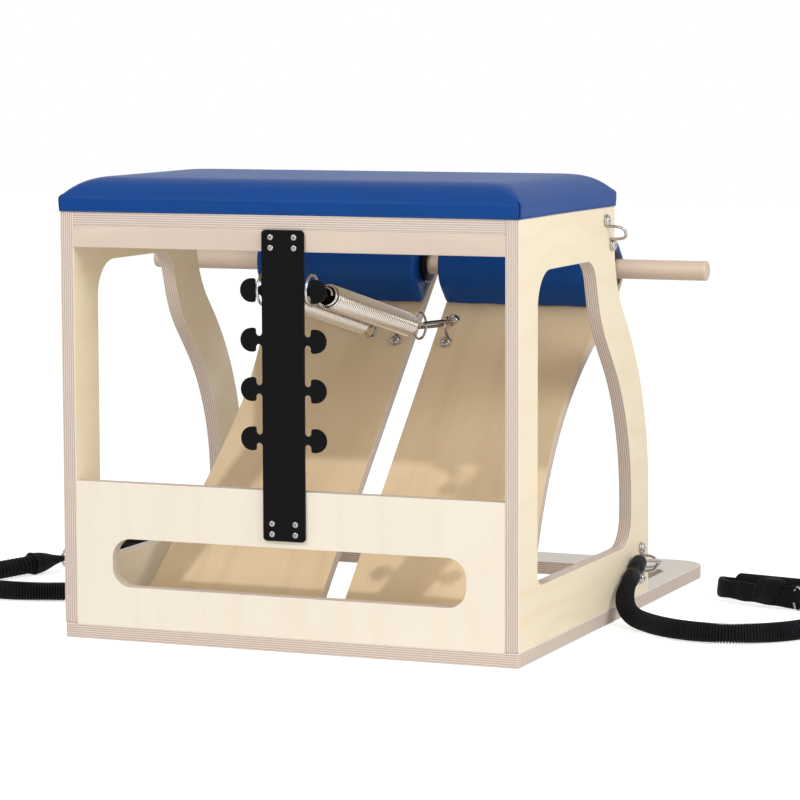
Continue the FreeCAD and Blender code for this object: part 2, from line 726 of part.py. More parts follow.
def save_pedal(side, label):
    def fitted(shape):
        return placed(sided(shape, side), PEDAL_PLACE)
    save(label + "_pedal_board", fitted(pedal_board()))
    save(label + "_pad_core", fitted(pad_core()))
    save(label + "_foot_pad", fitted(pad_cover()))
    save(label + "_dowel_collars", *[fitted(collar) for collar in dowel_collars()])
    save(label + "_pedal_eye", fitted(placed(pad_eye(), pedal_eye_place())))
    save(label + "_pedal_eye_screws", *[fitted(placed(screw, pedal_eye_place())) for screw in eye_screws()])
    save(label + "_pedal_hinge", fitted(hinge_pedal_leaf()))
    save(label + "_base_hinge", sided(hinge_base_leaf(), side))


def coil_corners():
    """Corners of the polyline whose equal runs carry the coil's tangent arcs, COIL_ARCS to a turn."""
    step = 2 * math.pi / COIL_ARCS
    corner_radius = COIL_MEAN / math.cos(step / 2)
    climb = (COIL_LENGTH - 2 * COIL_WIRE) / COIL_TURNS
    first = COIL_START + COIL_WIRE
    corners = []
    for k in range(COIL_TURNS * COIL_ARCS + 1):
        angle = k * step
        rise = first + climb * k / COIL_ARCS
        corners.append(V(corner_radius * math.cos(angle), rise, corner_radius * math.sin(angle)))
    return corners


def coil_points():
    """Middles of the coil's arcs, to measure the least gap between one turn and the next."""
    corners = coil_corners()
    points = []
    for before, here, after in zip(corners, corners[1:], corners[2:]):
        start, middle, _ = corner_arc(before, here, after, arc_radius(before, here, after))
        points += [start, middle]
    return points


def arc_radius(before, here, after):
    """Radius of the arc that leaves both runs at their middles."""
    half = (before - here).getAngle(after - here) / 2
    return (before - here).Length / 2 * math.tan(half)


def spring_coil():
    corners = coil_corners()
    edges = []
    for before, here, after in zip(corners, corners[1:], corners[2:]):
        edges.append(Part.Arc(*corner_arc(before, here, after, arc_radius(before, here, after))).toShape())
    start = (corners[0] + corners[1]) / 2
    return tube_along(edges, start, corners[1] - corners[0], COIL_WIRE, COIL_SIDES)


def coil_gap():
    points = coil_points()
    half_turn = COIL_ARCS
    gap = COIL_LENGTH
    for i, here in enumerate(points):
        for other in points[i + half_turn:i + 5 * half_turn]:
            gap = min(gap, (other - here).Length - 2 * COIL_WIRE)
    return gap


def near_plug():
    """Plug in the coil's near end, with a nose that reaches over the rack ring."""
    nose_start = RING_RADIUS - PLUG_NOSE
    nose = prism(V(0, nose_start, 0), V(0, COIL_START - nose_start, 0), PLUG_RADIUS + PLUG_PLAY, PLUG_SIDES)
    shank = prism(V(0, COIL_START, 0), V(0, PLUG_DEPTH, 0), PLUG_RADIUS, PLUG_SIDES)
    return nose.fuse(shank)


def far_plug():
    """Plug in the coil's far end, with a short nose for the far ring."""
    start = COIL_START + COIL_LENGTH - PLUG_DEPTH
    return prism(V(0, start, 0), V(0, FAR_EYE + PLUG_NOSE - start, 0), PLUG_RADIUS, PLUG_SIDES)


def snap_hook(length):
    """Closed link of round wire in the local XY plane, its end wires that far apart."""
    w = SNAP_HALF_WIDTH
    loop = [V(w, length, 0), V(-w, length, 0), V(-w, 0, 0), V(w, 0, 0)]
    return wire_form(bent_path(loop, w, True), V(0, 0, 1), SNAP_WIRE, True)


def save_spring(side, label):
    """Coil between its two rings: the far ring and the snap line up with the pull of the pedal's eye."""
    start, way = spring_start(side)
    along = frame_along(start, way)
    level = FreeCAD.Placement(start, FreeCAD.Rotation(V(1, 0, 0), -SPRING_DROP))
    save(label + "_rack_ring", placed(ring(RING_RADIUS, RING_WIRE), level))
    ring_room = placed(ring(RING_RADIUS, RING_WIRE + RING_PLAY), level)
    save(label + "_near_plug", placed(near_plug(), along).cut(ring_room))
    save(label + "_spring_coil", placed(spring_coil(), along))
    far_eye = along.multVec(V(0, FAR_EYE, 0))
    anchor = snap_anchor(side)
    pull = unit(anchor - far_eye)
    far_place = frame_along(far_eye + pull * FAR_RING_RADIUS, pull)
    far_room = placed(ring(FAR_RING_RADIUS, RING_WIRE + RING_PLAY), far_place)
    save(label + "_far_plug", placed(far_plug(), along).cut(far_room))
    save(label + "_far_ring", placed(ring(FAR_RING_RADIUS, RING_WIRE), far_place))
    near_end = far_eye + pull * (FAR_RING_RADIUS - SNAP_SLACK)
    save(label + "_spring_snap", placed(snap_hook((anchor - near_end).Length), frame_along(near_end, pull)))


def cord_edges(points):
    """Straight runs with the largest tangent arcs that fit: 0.45 of the shorter run at each corner."""
    radii = [0.0]
    for before, here, after in zip(points, points[1:], points[2:]):
        half = (before - here).getAngle(after - here) / 2
        shorter = min((before - here).Length, (after - here).Length)
        radii.append(0.45 * shorter * math.tan(half))
    radii.append(0.0)
    return rounded_edges(points, radii, False), radii[1:-1]


def cuff(length):
    """Rubber cuff along local Y: two lobes with a waist between them."""
    stations = [(0.0, 0.72), (0.14, 1.0), (0.5, 1.0), (0.62, CUFF_WAIST / CUFF_RADIUS), (0.72, 0.96),
                (0.92, 0.96), (1.0, CUFF_WAIST / CUFF_RADIUS)]
    return facets([polygon_points(V(0, share * length, 0), V(0, 1, 0), CUFF_RADIUS * size, CUFF_SIDES)
                   for share, size in stations])


def end_cap():
    """Webbing cap along local Y: round where it takes the cord, pressed flat and upright at the ring."""
    round_end = polygon_points(V(0, 0, 0), V(0, 1, 0), CAP_RADIUS, CORD_SIDES)
    middle = [V(point.x, CAP_SOCKET * CAP_LENGTH, point.z) for point in round_end]
    flat = [V(point.x * CAP_FLAT / CAP_RADIUS, CAP_LENGTH, point.z * CAP_FLAT_HEIGHT) for point in round_end]
    return facets([round_end, middle, flat])


def strap_loop(tip, corners):
    """Upright webbing band from its tip in the ring round the other corners, one strap thick."""
    legs = [unit(corners[0] - tip), unit(corners[-1] - tip)]
    half = legs[0].getAngle(legs[1]) / 2
    fold = tip - unit(legs[0] + legs[1]) * (STRAP_BEND / math.sin(half) - STRAP_BEND)
    outline = [fold] + corners
    outer = Part.Wire(rounded_edges(outline, [STRAP_BEND] * len(outline), True))
    inner = outer.makeOffset2D(-STRAP_THICK)
    rise = V(0, 0, STRAP_HEIGHT)
    band = Part.Face(outer).extrude(rise).cut(Part.Face(inner).extrude(rise))
    band.translate(-rise / 2)
    return band


def save_cord(side, label):
    points = [V(*point) for point in CORD_ROUTES[side]]
    edges, radii = cord_edges(points)
    tube = tube_along(edges, points[0], points[1] - points[0], CORD_RADIUS, CORD_SIDES)
    length = sum(edge.Length for edge in edges)
    section = Part.Face(polygon(points[0], points[1] - points[0], CORD_RADIUS, CORD_SIDES)).Area
    print(label, "cord: length", round(length), "volume over section times length",
          round(tube.Volume / (section * length), 4), "arc radii", [round(radius) for radius in radii])
    save(label + "_cord", tube)
    first = unit(points[0] - points[1])
    bail = V(side * (WIDTH / 2 + EYE_REACH), LOWER_EYE_Y, LOWER_EYE_Z)
    cuff_top = points[0] + first * CUFF_LENGTH
    snap_end = cuff_top - first * CORD_SNAP_GRIP
    pull = unit(bail - snap_end)
    snap_length = (bail - snap_end).Length + EYE_WIRE + SNAP_WIRE + RING_PLAY
    snap_place = frame_along(snap_end, pull)
    save(label + "_cord_snap", placed(snap_hook(snap_length), snap_place))
    half = SNAP_HALF_WIDTH + SNAP_WIRE + RING_PLAY
    deep = SNAP_WIRE + RING_PLAY
    pocket = placed(box(-half, -deep, -deep, half, snap_length, deep), snap_place)
    save(label + "_cord_cuff", placed(cuff(CUFF_LENGTH), frame_along(cuff_top, -first)).cut(pocket))
    last = unit(points[-1] - points[-2])
    cap_place = frame_along(points[-1], last)
    cap_end = cap_place.multVec(V(0, CAP_LENGTH, 0))
    heading = unit(V(last.x, last.y, 0))
    level = GRIP_RADIUS + CORD_REST - CORD_RADIUS
    ring_middle = V(cap_end.x, cap_end.y, level) + heading * (CORD_RING_RADIUS - 3 * CORD_RING_WIRE)
    ring_place = frame_along(ring_middle, heading)
    hole = placed(ring(CORD_RING_RADIUS, CORD_RING_WIRE + RING_PLAY), ring_place)
    save(label + "_cord_cap", placed(end_cap(), cap_place).cut(hole))
    save(label + "_cord_ring", placed(ring(CORD_RING_RADIUS, CORD_RING_WIRE), ring_place))
    corners = [V(x, y, level) for x, y in STRAP_CORNERS[side]]
    save(label + "_handle_strap", strap_loop(ring_middle + heading * STRAP_TIP_REACH, corners).cut(hole))
    low, high = corners[:2]
    way = unit(high - low)
    middle = (low + high) / 2 - way * (GRIP_LENGTH / 2)
    grip = prism(middle, way * GRIP_LENGTH, GRIP_RADIUS, GRIP_SIDES)
    bore = prism(middle, way * GRIP_LENGTH, GRIP_BORE, GRIP_SIDES)
    save(label + "_handle_grip", grip.cut(bore))


def main():
    os.makedirs("parts", exist_ok=True)
    save("base_board", base_board())
    save("rear_board", rear_board())
    save("seat_board", seat_board())
    save("rear_rail", rear_rail())
    save("seat_pad_board", seat_pad_board())
    save("seat_cushion", seat_cushion())
    save("spring_rack", spring_rack())
    save("rack_screws", *screw_set(RACK_SCREW, rack_screw_seats()))
    save("frame_screws", *screw_set(FRAME_SCREW, frame_screw_seats()))
    save("dowel", placed(dowel(), PEDAL_PLACE))
    panel_screws = []
    for side, label in SIDES:
        save(label + "_side_panel", side_panel(side))
        for level, place in zip(("upper", "lower"), eye_places(side)):
            save(label + "_" + level + "_eye", placed(pad_eye(), place))
            panel_screws += [placed(screw, place) for screw in eye_screws()]
        save_pedal(side, label)
        save_spring(side, label)
        save_cord(side, label)
    save("eye_screws", *panel_screws)
    print("least gap between a coil's turns", round(coil_gap(), 2))


main()
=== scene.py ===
"""Looks of a plywood pilates chair: every finish and soft form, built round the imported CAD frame.

Metres, in the frame's own axes: X along the dowel, Y from the rear board to the pedals, Z up from the floor.
"""
import math

import bmesh
import bpy
import numpy as np
from mathutils import Matrix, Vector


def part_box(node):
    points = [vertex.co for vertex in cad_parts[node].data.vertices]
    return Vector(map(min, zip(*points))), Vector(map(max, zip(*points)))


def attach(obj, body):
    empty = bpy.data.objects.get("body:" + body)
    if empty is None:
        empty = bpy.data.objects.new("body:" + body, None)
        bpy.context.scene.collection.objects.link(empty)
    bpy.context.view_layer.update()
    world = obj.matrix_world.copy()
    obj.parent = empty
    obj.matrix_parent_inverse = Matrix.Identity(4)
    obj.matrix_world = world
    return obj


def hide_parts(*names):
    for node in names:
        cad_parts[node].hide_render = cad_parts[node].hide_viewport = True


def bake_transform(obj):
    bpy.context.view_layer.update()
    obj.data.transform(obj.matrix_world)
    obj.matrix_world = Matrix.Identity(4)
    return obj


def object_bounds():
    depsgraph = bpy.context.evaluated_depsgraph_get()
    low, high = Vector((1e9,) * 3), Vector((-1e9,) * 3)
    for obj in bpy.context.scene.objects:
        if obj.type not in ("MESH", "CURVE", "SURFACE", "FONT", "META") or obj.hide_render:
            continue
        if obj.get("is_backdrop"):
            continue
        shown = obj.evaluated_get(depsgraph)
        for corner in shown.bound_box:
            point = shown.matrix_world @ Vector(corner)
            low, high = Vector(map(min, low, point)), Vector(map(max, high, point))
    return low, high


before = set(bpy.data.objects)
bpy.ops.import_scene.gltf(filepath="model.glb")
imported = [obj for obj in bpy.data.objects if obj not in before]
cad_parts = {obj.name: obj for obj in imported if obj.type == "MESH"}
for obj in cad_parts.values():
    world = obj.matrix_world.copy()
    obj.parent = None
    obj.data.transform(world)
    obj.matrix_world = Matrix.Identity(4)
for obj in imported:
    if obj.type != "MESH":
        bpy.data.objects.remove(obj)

bl_info = {
    "name": "Pilates chair looks",
    "version": (1, 0, 0),
    "blender": (4, 5, 0),
    "location": "View3D > Sidebar > Chair",
    "description": "Dresses the packed pilates chair with its plywood, vinyl, springs, cords and hardware",
    "category": "Object",
}

CAD_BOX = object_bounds()
SIDES = (("left", -1), ("right", 1))
ENDS = (-1, 1)
ACROSS, AHEAD, UP = np.eye(3)

# Studio: the camera, each lamp's place, target and size, and the tones and levels of floor, sky and card
CAMERA_PLACE = (1.6772, -3.7962, 0.7507)
CAMERA_YAW = math.radians(22.18)
CAMERA_PITCH = math.radians(6.11)
CAMERA_ROLL = math.radians(-0.157)
SENSOR_WIDTH = 36.0
LAMPS = {
    "key": ((-1.43, -2.6, 2.94), (0.0, 0.1, 0.3), 0.12),
    "fill": ((3.0, -0.9, 1.9), (0.1, 0.2, 0.3), 1.8),
    "front": ((0.9, -3.4, 0.45), (0.0, 0.4, 0.4), 1.4),
}
SKY_LIGHT = (1.0, 0.99, 0.97)
FLOOR_GREY = 0.86
FLOOR_GLOW = 0.7
FLOOR_LEVEL = -0.0004
CARD_GREY = 0.02

# Boards: distance from the chair's rear face to the frame's origin, places measured from them, and plies
REAR_FACE = 0.056
PANEL_OUTSIDE = 0.305
PIN = np.array((0.0, 0.1175 - REAR_FACE, 0.022))
PEDAL_ANGLE = math.radians(44.8)
PEDAL_FACE = -0.004
PEDAL_THICK = 0.015
BOARD_PLIES = 13
PAD_BOARD_PLIES = 9
PEDAL_PLIES = 11

# Seat cushion: points along a side and round a corner, corner radius, and small bulges of the cover
SEAT_SIDE_POINTS = 40
SEAT_CORNER_POINTS = 9
SEAT_CORNER = 0.0035
SEAT_SIDE_BULGE = 0.0012
SEAT_CROWN_BULGE = 0.0014
SEAT_SIDE_PULL = 0.0016
SEAM_RADIUS = 0.0011
WELT_RADIUS = 0.0013
WELT_LEVEL = 0.0014

# Foot pads and dowel: the dowel's axis in the pedal's frame, and the pads about it
DOWEL_AXIS = (0.576, 0.026)
DOWEL_RADIUS = 0.013
DOWEL_ROUNDING = 0.0028
PAD_RADIUS = 0.045
PAD_DROP = 0.030
PAD_CORNER_REACH = 0.0535
PAD_BORE = 0.0142
PAD_INNER = 0.0165
PAD_OUTER = 0.250
PAD_GROOVE_FROM_END = 0.011
COLLAR_STARTS = (0.0095, PAD_OUTER)
COLLAR_BORE = 0.0133
COLLAR_RIM = 0.023
COLLAR_THICK = 0.007
COLLAR_EASE = 0.0012

# Spring: start in the rack ring, hanging angle, lean of each coil, and the sizes along it
CLEARANCE = 0.0003
SPRING_START = np.array((0.0325, 0.01193 - REAR_FACE, 0.4461))
SPRING_DROP = math.radians(11.6)
SPRING_LEAN = {"left": math.radians(-2.07), "right": math.radians(-1.3)}
COIL_START = 0.0505
COIL_RADIUS = 0.016
COIL_NECK = 0.009
NECK_TURNS = 2.6
NECK_DRAW = 0.0060
PLUG_START = 0.0125
PLUG_IN_COIL = 0.02
PLUG_PAST_EYE = 0.0062
PLUG_RADIUS = 0.0052
PLUG_ROUNDING = 0.003
FAR_EYE_FROM_COIL = 0.00925
FAR_EYE_FROM_TIP = 0.0065
FAR_RING_RADIUS = 0.01725
RACK_RING_RADIUS = 0.01875
RING_WIRE = 0.00175
SNAP_SLACK = 0.005
SNAP_WIRE = 0.0024
SNAP_HALF_WIDTH = 0.0064
SNAP_TILT = math.radians(32)
CORD_SNAP_TILT = math.radians(48)

# Pad eyes: foot spacing, bail, and the places of the panel eyes and the pedal eye
EYE_SPACING = 0.040
EYE_WIRE = 0.002
EYE_HALF_WIDTH = 0.0105
EYE_REACH = 0.023
EYE_FOOT = 0.0024
EYE_FOOT_RADIUS = 0.0082
EYE_FOOT_ROUNDING = 0.0009
PANEL_EYES = {"upper": (0.329 - REAR_FACE, 0.505, math.radians(127)),
              "lower": (0.466 - REAR_FACE, 0.061, math.radians(90))}
PEDAL_EYE = (0.0365, 0.483)

# Screws: radius and height of each kind of head, and the places of those on the rack and the hinges
EYE_SCREW = (0.0071, 0.0046)
RACK_SCREW = (0.0038, 0.0022)
HINGE_SCREW = (0.0040, 0.0009)
RACK_FACE = -0.060
RACK_SCREW_X = 0.0156
RACK_SCREW_ROWS = (0.5114, 0.4984, 0.1599, 0.1469)
HINGE_SCREW_PLACES = 0.140 + np.array((-0.078, 0.0, 0.078))
HINGE_SCREW_FROM_PIN = 0.021
BASE_LEAF_TOP = 0.020
PEDAL_LEAF_TOP = -0.002

# Arm cords: routes of the part's source, in millimetres from its rear face
CORD_RADIUS = 0.0127
CORD_ROUTES = {
    "right": [(318, 384, 51), (319, 363, 42.5), (323, 345, 30), (332, 332, 19.5), (345, 319, 14.2),
              (362, 302, 13.2), (388, 278, 13.2), (420, 260, 13.2), (457, 252, 13.2), (496, 257, 13.2),
              (533, 276, 13.2), (564, 310, 13.2), (584, 362, 13.2), (586, 408, 13.2), (570, 448, 13.2),
              (543, 476, 15)],
    "left": [(-318, 384, 51), (-319, 363, 42.5), (-323, 345, 30), (-332, 332, 19.5), (-345, 318, 14.2),
             (-361, 299, 13.2), (-387, 272, 13.2), (-422, 248, 13.2), (-463, 231, 13.2), (-508, 222, 13.2),
             (-553, 229, 13.2), (-591, 256, 13.2), (-612, 297, 13.2), (-613, 343, 13.2), (-600, 388, 13.2),
             (-583, 425, 15)],
}
GROUND_GAP = 0.0004

# Cord fittings: cuff lobes as middle, half length and radius, and half width and height of the cap's ends
CUFF_LENGTH = 0.062
CUFF_TRIM = 0.007
CUFF_LAP = 0.010
CUFF_LOBES = ((0.27, 0.28, 0.0108), (0.78, 0.24, 0.0110))
CUFF_WAIST = 0.0080
SNAP_IN_CUFF = 0.016
CAP_LENGTHS = {"left": 0.060, "right": 0.042}
CAP_MOUTH = np.array((0.0146, 0.0150))
CAP_TAB = np.array((0.0034, 0.0042))
CAP_GIRTH = 0.09
CORD_RING_RADIUS = 0.0146
CORD_RING_WIRE = 0.0019
CORD_RING_IN_CAP = 0.0057

# Handles: corners of the strap in millimetres from the rear face, its half sizes, keeper and grip
STRAP_CORNERS = {"right": [(528, 566), (386, 596), (379, 563)], "left": [(-448, 604), (-584, 648)]}
STRAP_FROM_RING = 0.0043
STRAP_EASE = 0.014
STRAP_HALF_THICK = 0.0024
STRAP_HALF_WIDTH = 0.0102
STRAP_GIRTH = 0.058
KEEPER_HALF_LENGTH = 0.021
KEEPER_HALF_SECTION = (0.0105, 0.0180)
KEEPER_LIFT = 0.0065
KEEPER_SHARE = 0.34
KEEPER_GIRTH = 0.085
GRIP_RADIUS = 0.017
GRIP_BORE = 0.0119
GRIP_LENGTH = 0.112
GRIP_LEVEL = 0.0175
GRIP_ROUNDING = 0.0042


def srgb(red, green, blue):
    """Linear colour of an 8-bit display colour."""
    shares = np.array((red, green, blue)) / 255
    linear = np.where(shares <= 0.04045, shares / 12.92, ((shares + 0.055) / 1.055) ** 2.4)
    return tuple(float(value) for value in linear)


def colour(name, description, *display):
    return bpy.props.FloatVectorProperty(
        name=name, description=description, subtype="COLOR", size=3, min=0, max=1, default=srgb(*display))


def length(name, description, metres):
    return bpy.props.FloatProperty(
        name=name, description=description, default=metres, min=0, subtype="DISTANCE", unit="LENGTH")


def power(name, description, watts):
    return bpy.props.FloatProperty(
        name=name, description=description, default=watts, min=0, subtype="POWER", unit="POWER")


class ChairColours(bpy.types.PropertyGroup):
    """Colours of the chair's finishes."""
    birch: colour("Birch", "Pale face veneer", 251, 242, 227)
    birch_figure: colour("Birch figure", "Darker streaks of the face veneer", 243, 228, 204)
    # Base, panel and pedal tones are copies of the one birch: the paler base is painted light, the warmer
    # panels and tan pedals are painted shade.
    base: colour("Base birch", "Palest veneer, of the base", 255, 250, 242)
    base_figure: colour("Base figure", "Darker streaks of the base", 250, 240, 227)
    panel: colour("Panel birch", "Warmer veneer of the side panels", 253, 241, 214)
    panel_figure: colour("Panel figure", "Darker streaks of the side panels", 242, 220, 182)
    pedal: colour("Pedal birch", "Tan veneer of the pedals", 241, 218, 182)
    pedal_figure: colour("Pedal figure", "Darker streaks of the pedals", 213, 183, 140)
    ply_long: colour("Long plies", "Plies cut along their grain, on the edges", 236, 222, 210)
    ply_end: colour("End plies", "Plies cut across their grain, on the edges", 193, 172, 159)
    glue: colour("Glue line", "Dark line between two plies", 168, 143, 132)
    rail: colour("Rail", "Veneer of the rail under the seat", 213, 193, 181)
    beech: colour("Beech", "Dowel", 221, 199, 179)
    beech_figure: colour("Beech figure", "Darker flecks of the dowel", 210, 183, 160)
    vinyl: colour("Vinyl", "Seat and foot pads", 9, 68, 140)
    chrome: colour("Chrome", "Rings, eyes and snaps", 178, 173, 168)
    spring: colour("Spring", "Coils of the springs", 217, 211, 203)
    zinc: colour("Zinc", "Hinges and screws", 172, 170, 167)
    paint: colour("Black paint", "Spring rack", 7, 7, 9)
    plastic: colour("Black plastic", "Collars and spring plugs", 13, 13, 15)
    rubber: colour("Rubber", "Cuffs and grips", 19, 19, 22)
    fabric: colour("Black fabric", "Cord sleeves and straps", 13, 13, 16)
    # Pale tone of the gathers' crowns: a painted highlight.
    fabric_crown_highlight: colour("Fabric crowns", "Worn crowns of the sleeves' gathers", 31, 31, 37)


class ChairSizes(bpy.types.PropertyGroup):
    """Sizes of the details that the looks add."""
    easing: length("Edge easing", "Rounding of the board edges", 0.0012)
    rack_easing: length("Rack easing", "Rounding of the steel rack's edges", 0.0006)
    cushion_side: length("Cushion side", "Height of the seat's upright border", 0.0170)
    cushion_rise: length("Cushion rise", "Height of the seat's crown over its border", 0.0253)
    cushion_shoulder: length("Cushion shoulder", "Width over which the seat rises", 0.052)
    cushion_curve: bpy.props.FloatProperty(
        name="Cushion curve", description="How early the seat's rise levels off", default=2.7, min=1)
    pad_rounding: length("Pad rounding", "Rounding of the foot pads' ends", 0.007)
    coil_wire: length("Coil wire", "Diameter of the springs' wire", 0.0044)
    coil_gap: length("Coil gap", "Clear space between turns of the springs", 0.0016)
    rib_pitch: length("Rib pitch", "Distance between gathers of the cord sleeves", 0.0036)
    rib_depth: length("Rib depth", "Depth of the gathers of the cord sleeves", 0.0026)


class ChairStage(bpy.types.PropertyGroup):
    """Studio round the chair."""
    lens: bpy.props.FloatProperty(
        name="Lens", description="Focal length of the camera", default=151.9, min=1,
        subtype="DISTANCE_CAMERA", unit="CAMERA")
    sky: bpy.props.FloatProperty(
        name="Sky", description="Strength of the even white light", default=0.36, min=0)
    key: power("Key", "Power of the small main lamp", 47)
    fill: power("Fill", "Power of the lamp on the right", 56)
    front: power("Front", "Power of the low lamp by the camera", 22)


class Wire:
    """An output socket in a node tree, on which arithmetic adds Math nodes."""

    def __init__(self, finish, socket):
        self.finish = finish
        self.socket = socket

    def math(self, operation, *values):
        return self.finish.node("ShaderNodeMath", {"operation": operation}, dict(enumerate(values)))

    def __add__(self, other):
        return self.math("ADD", self, other)

    def __radd__(self, other):
        return self.math("ADD", other, self)

    def __sub__(self, other):
        return self.math("SUBTRACT", self, other)

    def __rsub__(self, other):
        return self.math("SUBTRACT", other, self)

    def __mul__(self, other):
        return self.math("MULTIPLY", self, other)

    def __rmul__(self, other):
        return self.math("MULTIPLY", other, self)

    def __pow__(self, other):
        return self.math("POWER", self, other)

    def __rpow__(self, other):
        return self.math("POWER", other, self)

    def __abs__(self):
        return self.math("ABSOLUTE", self)

    def sine(self):
        return self.math("SINE", self)

    def floor(self):
        return self.math("FLOOR", self)

    def above(self, level):
        return self.math("GREATER_THAN", self, level)

    def larger(self, other):
        return self.math("MAXIMUM", self, other)

    def limited(self, low, high):
        return self.math("MINIMUM", self.larger(low), high)


class Finish:
    """The node tree of a material, or of the sky, under construction."""

    def __init__(self, name, library="materials"):
        self.owner = getattr(bpy.data, library).new(name)
        self.owner.use_nodes = True
        self.nodes = self.owner.node_tree.nodes
        self.links = self.owner.node_tree.links

    def connect(self, node, sockets):
        for key, value in sockets.items():
            target = node.inputs[key]
            if isinstance(value, Wire):
                self.links.new(value.socket, target)
            elif target.type == "RGBA":
                target.default_value = (*value, 1.0)
            else:
                target.default_value = value

    def node(self, kind, settings=None, sockets=None, output=0):
        """One node: its settings first, then the values or links of its sockets."""
        node = self.nodes.new(kind)
        for key, value in (settings or {}).items():
            setattr(node, key, value)
        self.connect(node, sockets or {})
        return Wire(self, node.outputs[output])

    def place(self):
        return self.node("ShaderNodeTexCoord", output="Object")

    def along(self, place, direction):
        """How far a point lies along a direction."""
        return self.node("ShaderNodeVectorMath", {"operation": "DOT_PRODUCT"},
                         {0: place, 1: tuple(float(value) for value in direction)}, output="Value")

    def joined(self, x, y, z):
        return self.node("ShaderNodeCombineXYZ", sockets={0: x, 1: y, 2: z})

    def noise(self, place, scale, detail=3.0):
        return self.node("ShaderNodeTexNoise", sockets={
            "Vector": place, "Scale": scale, "Detail": detail, "Roughness": 0.55})

    def mixed(self, factor, first, second):
        return self.node("ShaderNodeMix", {"data_type": "RGBA"}, {0: factor, 6: first, 7: second}, output=2)

    def bump(self, height, distance, strength):
        return self.node("ShaderNodeBump",
                         sockets={"Height": height, "Distance": distance, "Strength": strength})

    def strip(self):
        """The two coordinates of the piece's own UV map."""
        strip = self.node("ShaderNodeUVMap", {"uv_map": "UVMap"})
        return [self.node("ShaderNodeSeparateXYZ", sockets={0: strip}, output=part) for part in (0, 1)]

    def done(self, **sockets):
        """Sets the shader's sockets, written with underscores for the spaces in their names."""
        self.connect(self.nodes["Principled BSDF"],
                     {key.replace("_", " "): value for key, value in sockets.items()})
        return self.owner

    def show(self, end, plain, seen):
        """Puts one shader before the camera, in mirrors and through glass, and another on all other rays."""
        camera, mirror, glass = (self.node("ShaderNodeLightPath", output="Is " + ray + " Ray")
                                 for ray in ("Camera", "Glossy", "Transmission"))
        shader = self.node("ShaderNodeMixShader",
                           sockets={0: camera.larger(mirror).larger(glass), 1: plain, 2: seen})
        self.connect(self.nodes[end], {"Surface": shader})


def colours():
    return bpy.context.scene.chair_colours


def sizes():
    return bpy.context.scene.chair_sizes


def shade(base, share):
    """A colour made darker or lighter by a share."""
    return tuple(float(value) for value in np.minimum(np.array(tuple(base)) * share, 1))


def plywood(name, normal, grain, start, thick, plies, face, figure):
    """Birch plywood as a solid: veneer on both faces, and on every cut edge the stack of crossed plies.

    A point's depth through the board, counted in plies, tells which ply it is in. Even plies show long grain,
    odd ones end grain, and a dark glue line runs where two meet. Noise stretched along the grain gives the
    figure.
    """
    tones = colours()
    finish = Finish(name)
    place = finish.place()
    run = finish.along(place, grain)
    side = finish.along(place, np.cross(normal, grain))
    depth = (finish.along(place, normal) - start) * (plies / thick)
    ply = depth.limited(0.02, plies - 0.02)
    veneer = abs(ply - plies / 2).above(plies / 2 - 0.42)
    index = ply.floor()
    within = ply - index
    odd = index * 0.5 - (index * 0.5).floor()
    glue = ((abs(within - 0.5) * 2 - 0.76) * 4).limited(0, 1)
    waves = finish.noise(finish.joined(run * 1.7, side * 6, depth * 0.6), 1.0, 2.0)
    bands = ((side * 85 + waves * 30).sine() * 0.5 + 0.5) ** 2.5
    streaks = finish.noise(finish.joined(run * 9, side * 320, depth * 4), 1.0, 4.0)
    pits = finish.noise(finish.joined(run * 60, side * 1500, depth * 9), 1.0, 1.0)
    pores = ((pits - 0.60) * 7).limited(0, 1)
    drift = finish.noise(place, 3.1, 2.0)
    amount = (bands * 0.17 + streaks * 0.42 + drift * 0.5 - 0.24 + pores * 0.2).limited(0, 1)
    front = finish.mixed(amount, face, figure)
    fleck = finish.noise(place, 620, 2.0)
    crossed = (odd * 1.7 + (fleck - 0.5) * 0.7).limited(0, 1)
    edge = finish.mixed(glue * 0.4, finish.mixed(crossed, tones.ply_long, tones.ply_end), tones.glue)
    height = streaks * 0.6 + pores * -0.5 + (1 - veneer) * glue * -1.2
    return finish.done(
        Base_Color=finish.mixed(veneer, edge, front),
        Roughness=0.46 + streaks * 0.1 + (1 - veneer) * 0.12,
        Normal=finish.bump(height, 0.00012, 0.5),
        Specular_IOR_Level=0.38)


def beech(name):
    """Sanded beech along X: long grain with the short dark flecks of its rays."""
    tones = colours()
    finish = Finish(name)
    place = finish.place()
    run, y, z = (finish.along(place, axis) for axis in (ACROSS, AHEAD, UP))
    grain = finish.noise(finish.joined(run * 7, y * 260, z * 260), 1.0, 4.0)
    flecks = finish.noise(finish.joined(run * 190, y * 900, z * 900), 1.0, 1.0)
    rays = ((flecks - 0.56) * 6).limited(0, 1)
    amount = ((grain - 0.28) * 0.9 + rays * 0.35).limited(0, 1)
    return finish.done(
        Base_Color=finish.mixed(amount, tones.beech, tones.beech_figure),
        Roughness=0.5 + grain * 0.1,
        Normal=finish.bump(grain - rays * 0.5, 0.0001, 0.4))


def vinyl(name):
    """Upholstery vinyl: small pressed cells under a soft sheen, a shade deeper in the dips."""
    base = colours().vinyl
    finish = Finish(name)
    place = finish.place()
    cells = finish.node("ShaderNodeTexVoronoi", {"feature": "SMOOTH_F1"},
                        {"Vector": place, "Scale": 820.0, "Smoothness": 0.4})
    drift = finish.noise(place, 7.0)
    tone = (drift * 0.8 + cells * 0.35).limited(0, 1)
    return finish.done(
        Base_Color=finish.mixed(tone, shade(base, 0.82), shade(base, 1.12)),
        Roughness=0.36 + drift * 0.08 + cells * 0.1,
        Normal=finish.bump(1 - cells, 0.00009, 0.55),
        Specular_IOR_Level=0.16)


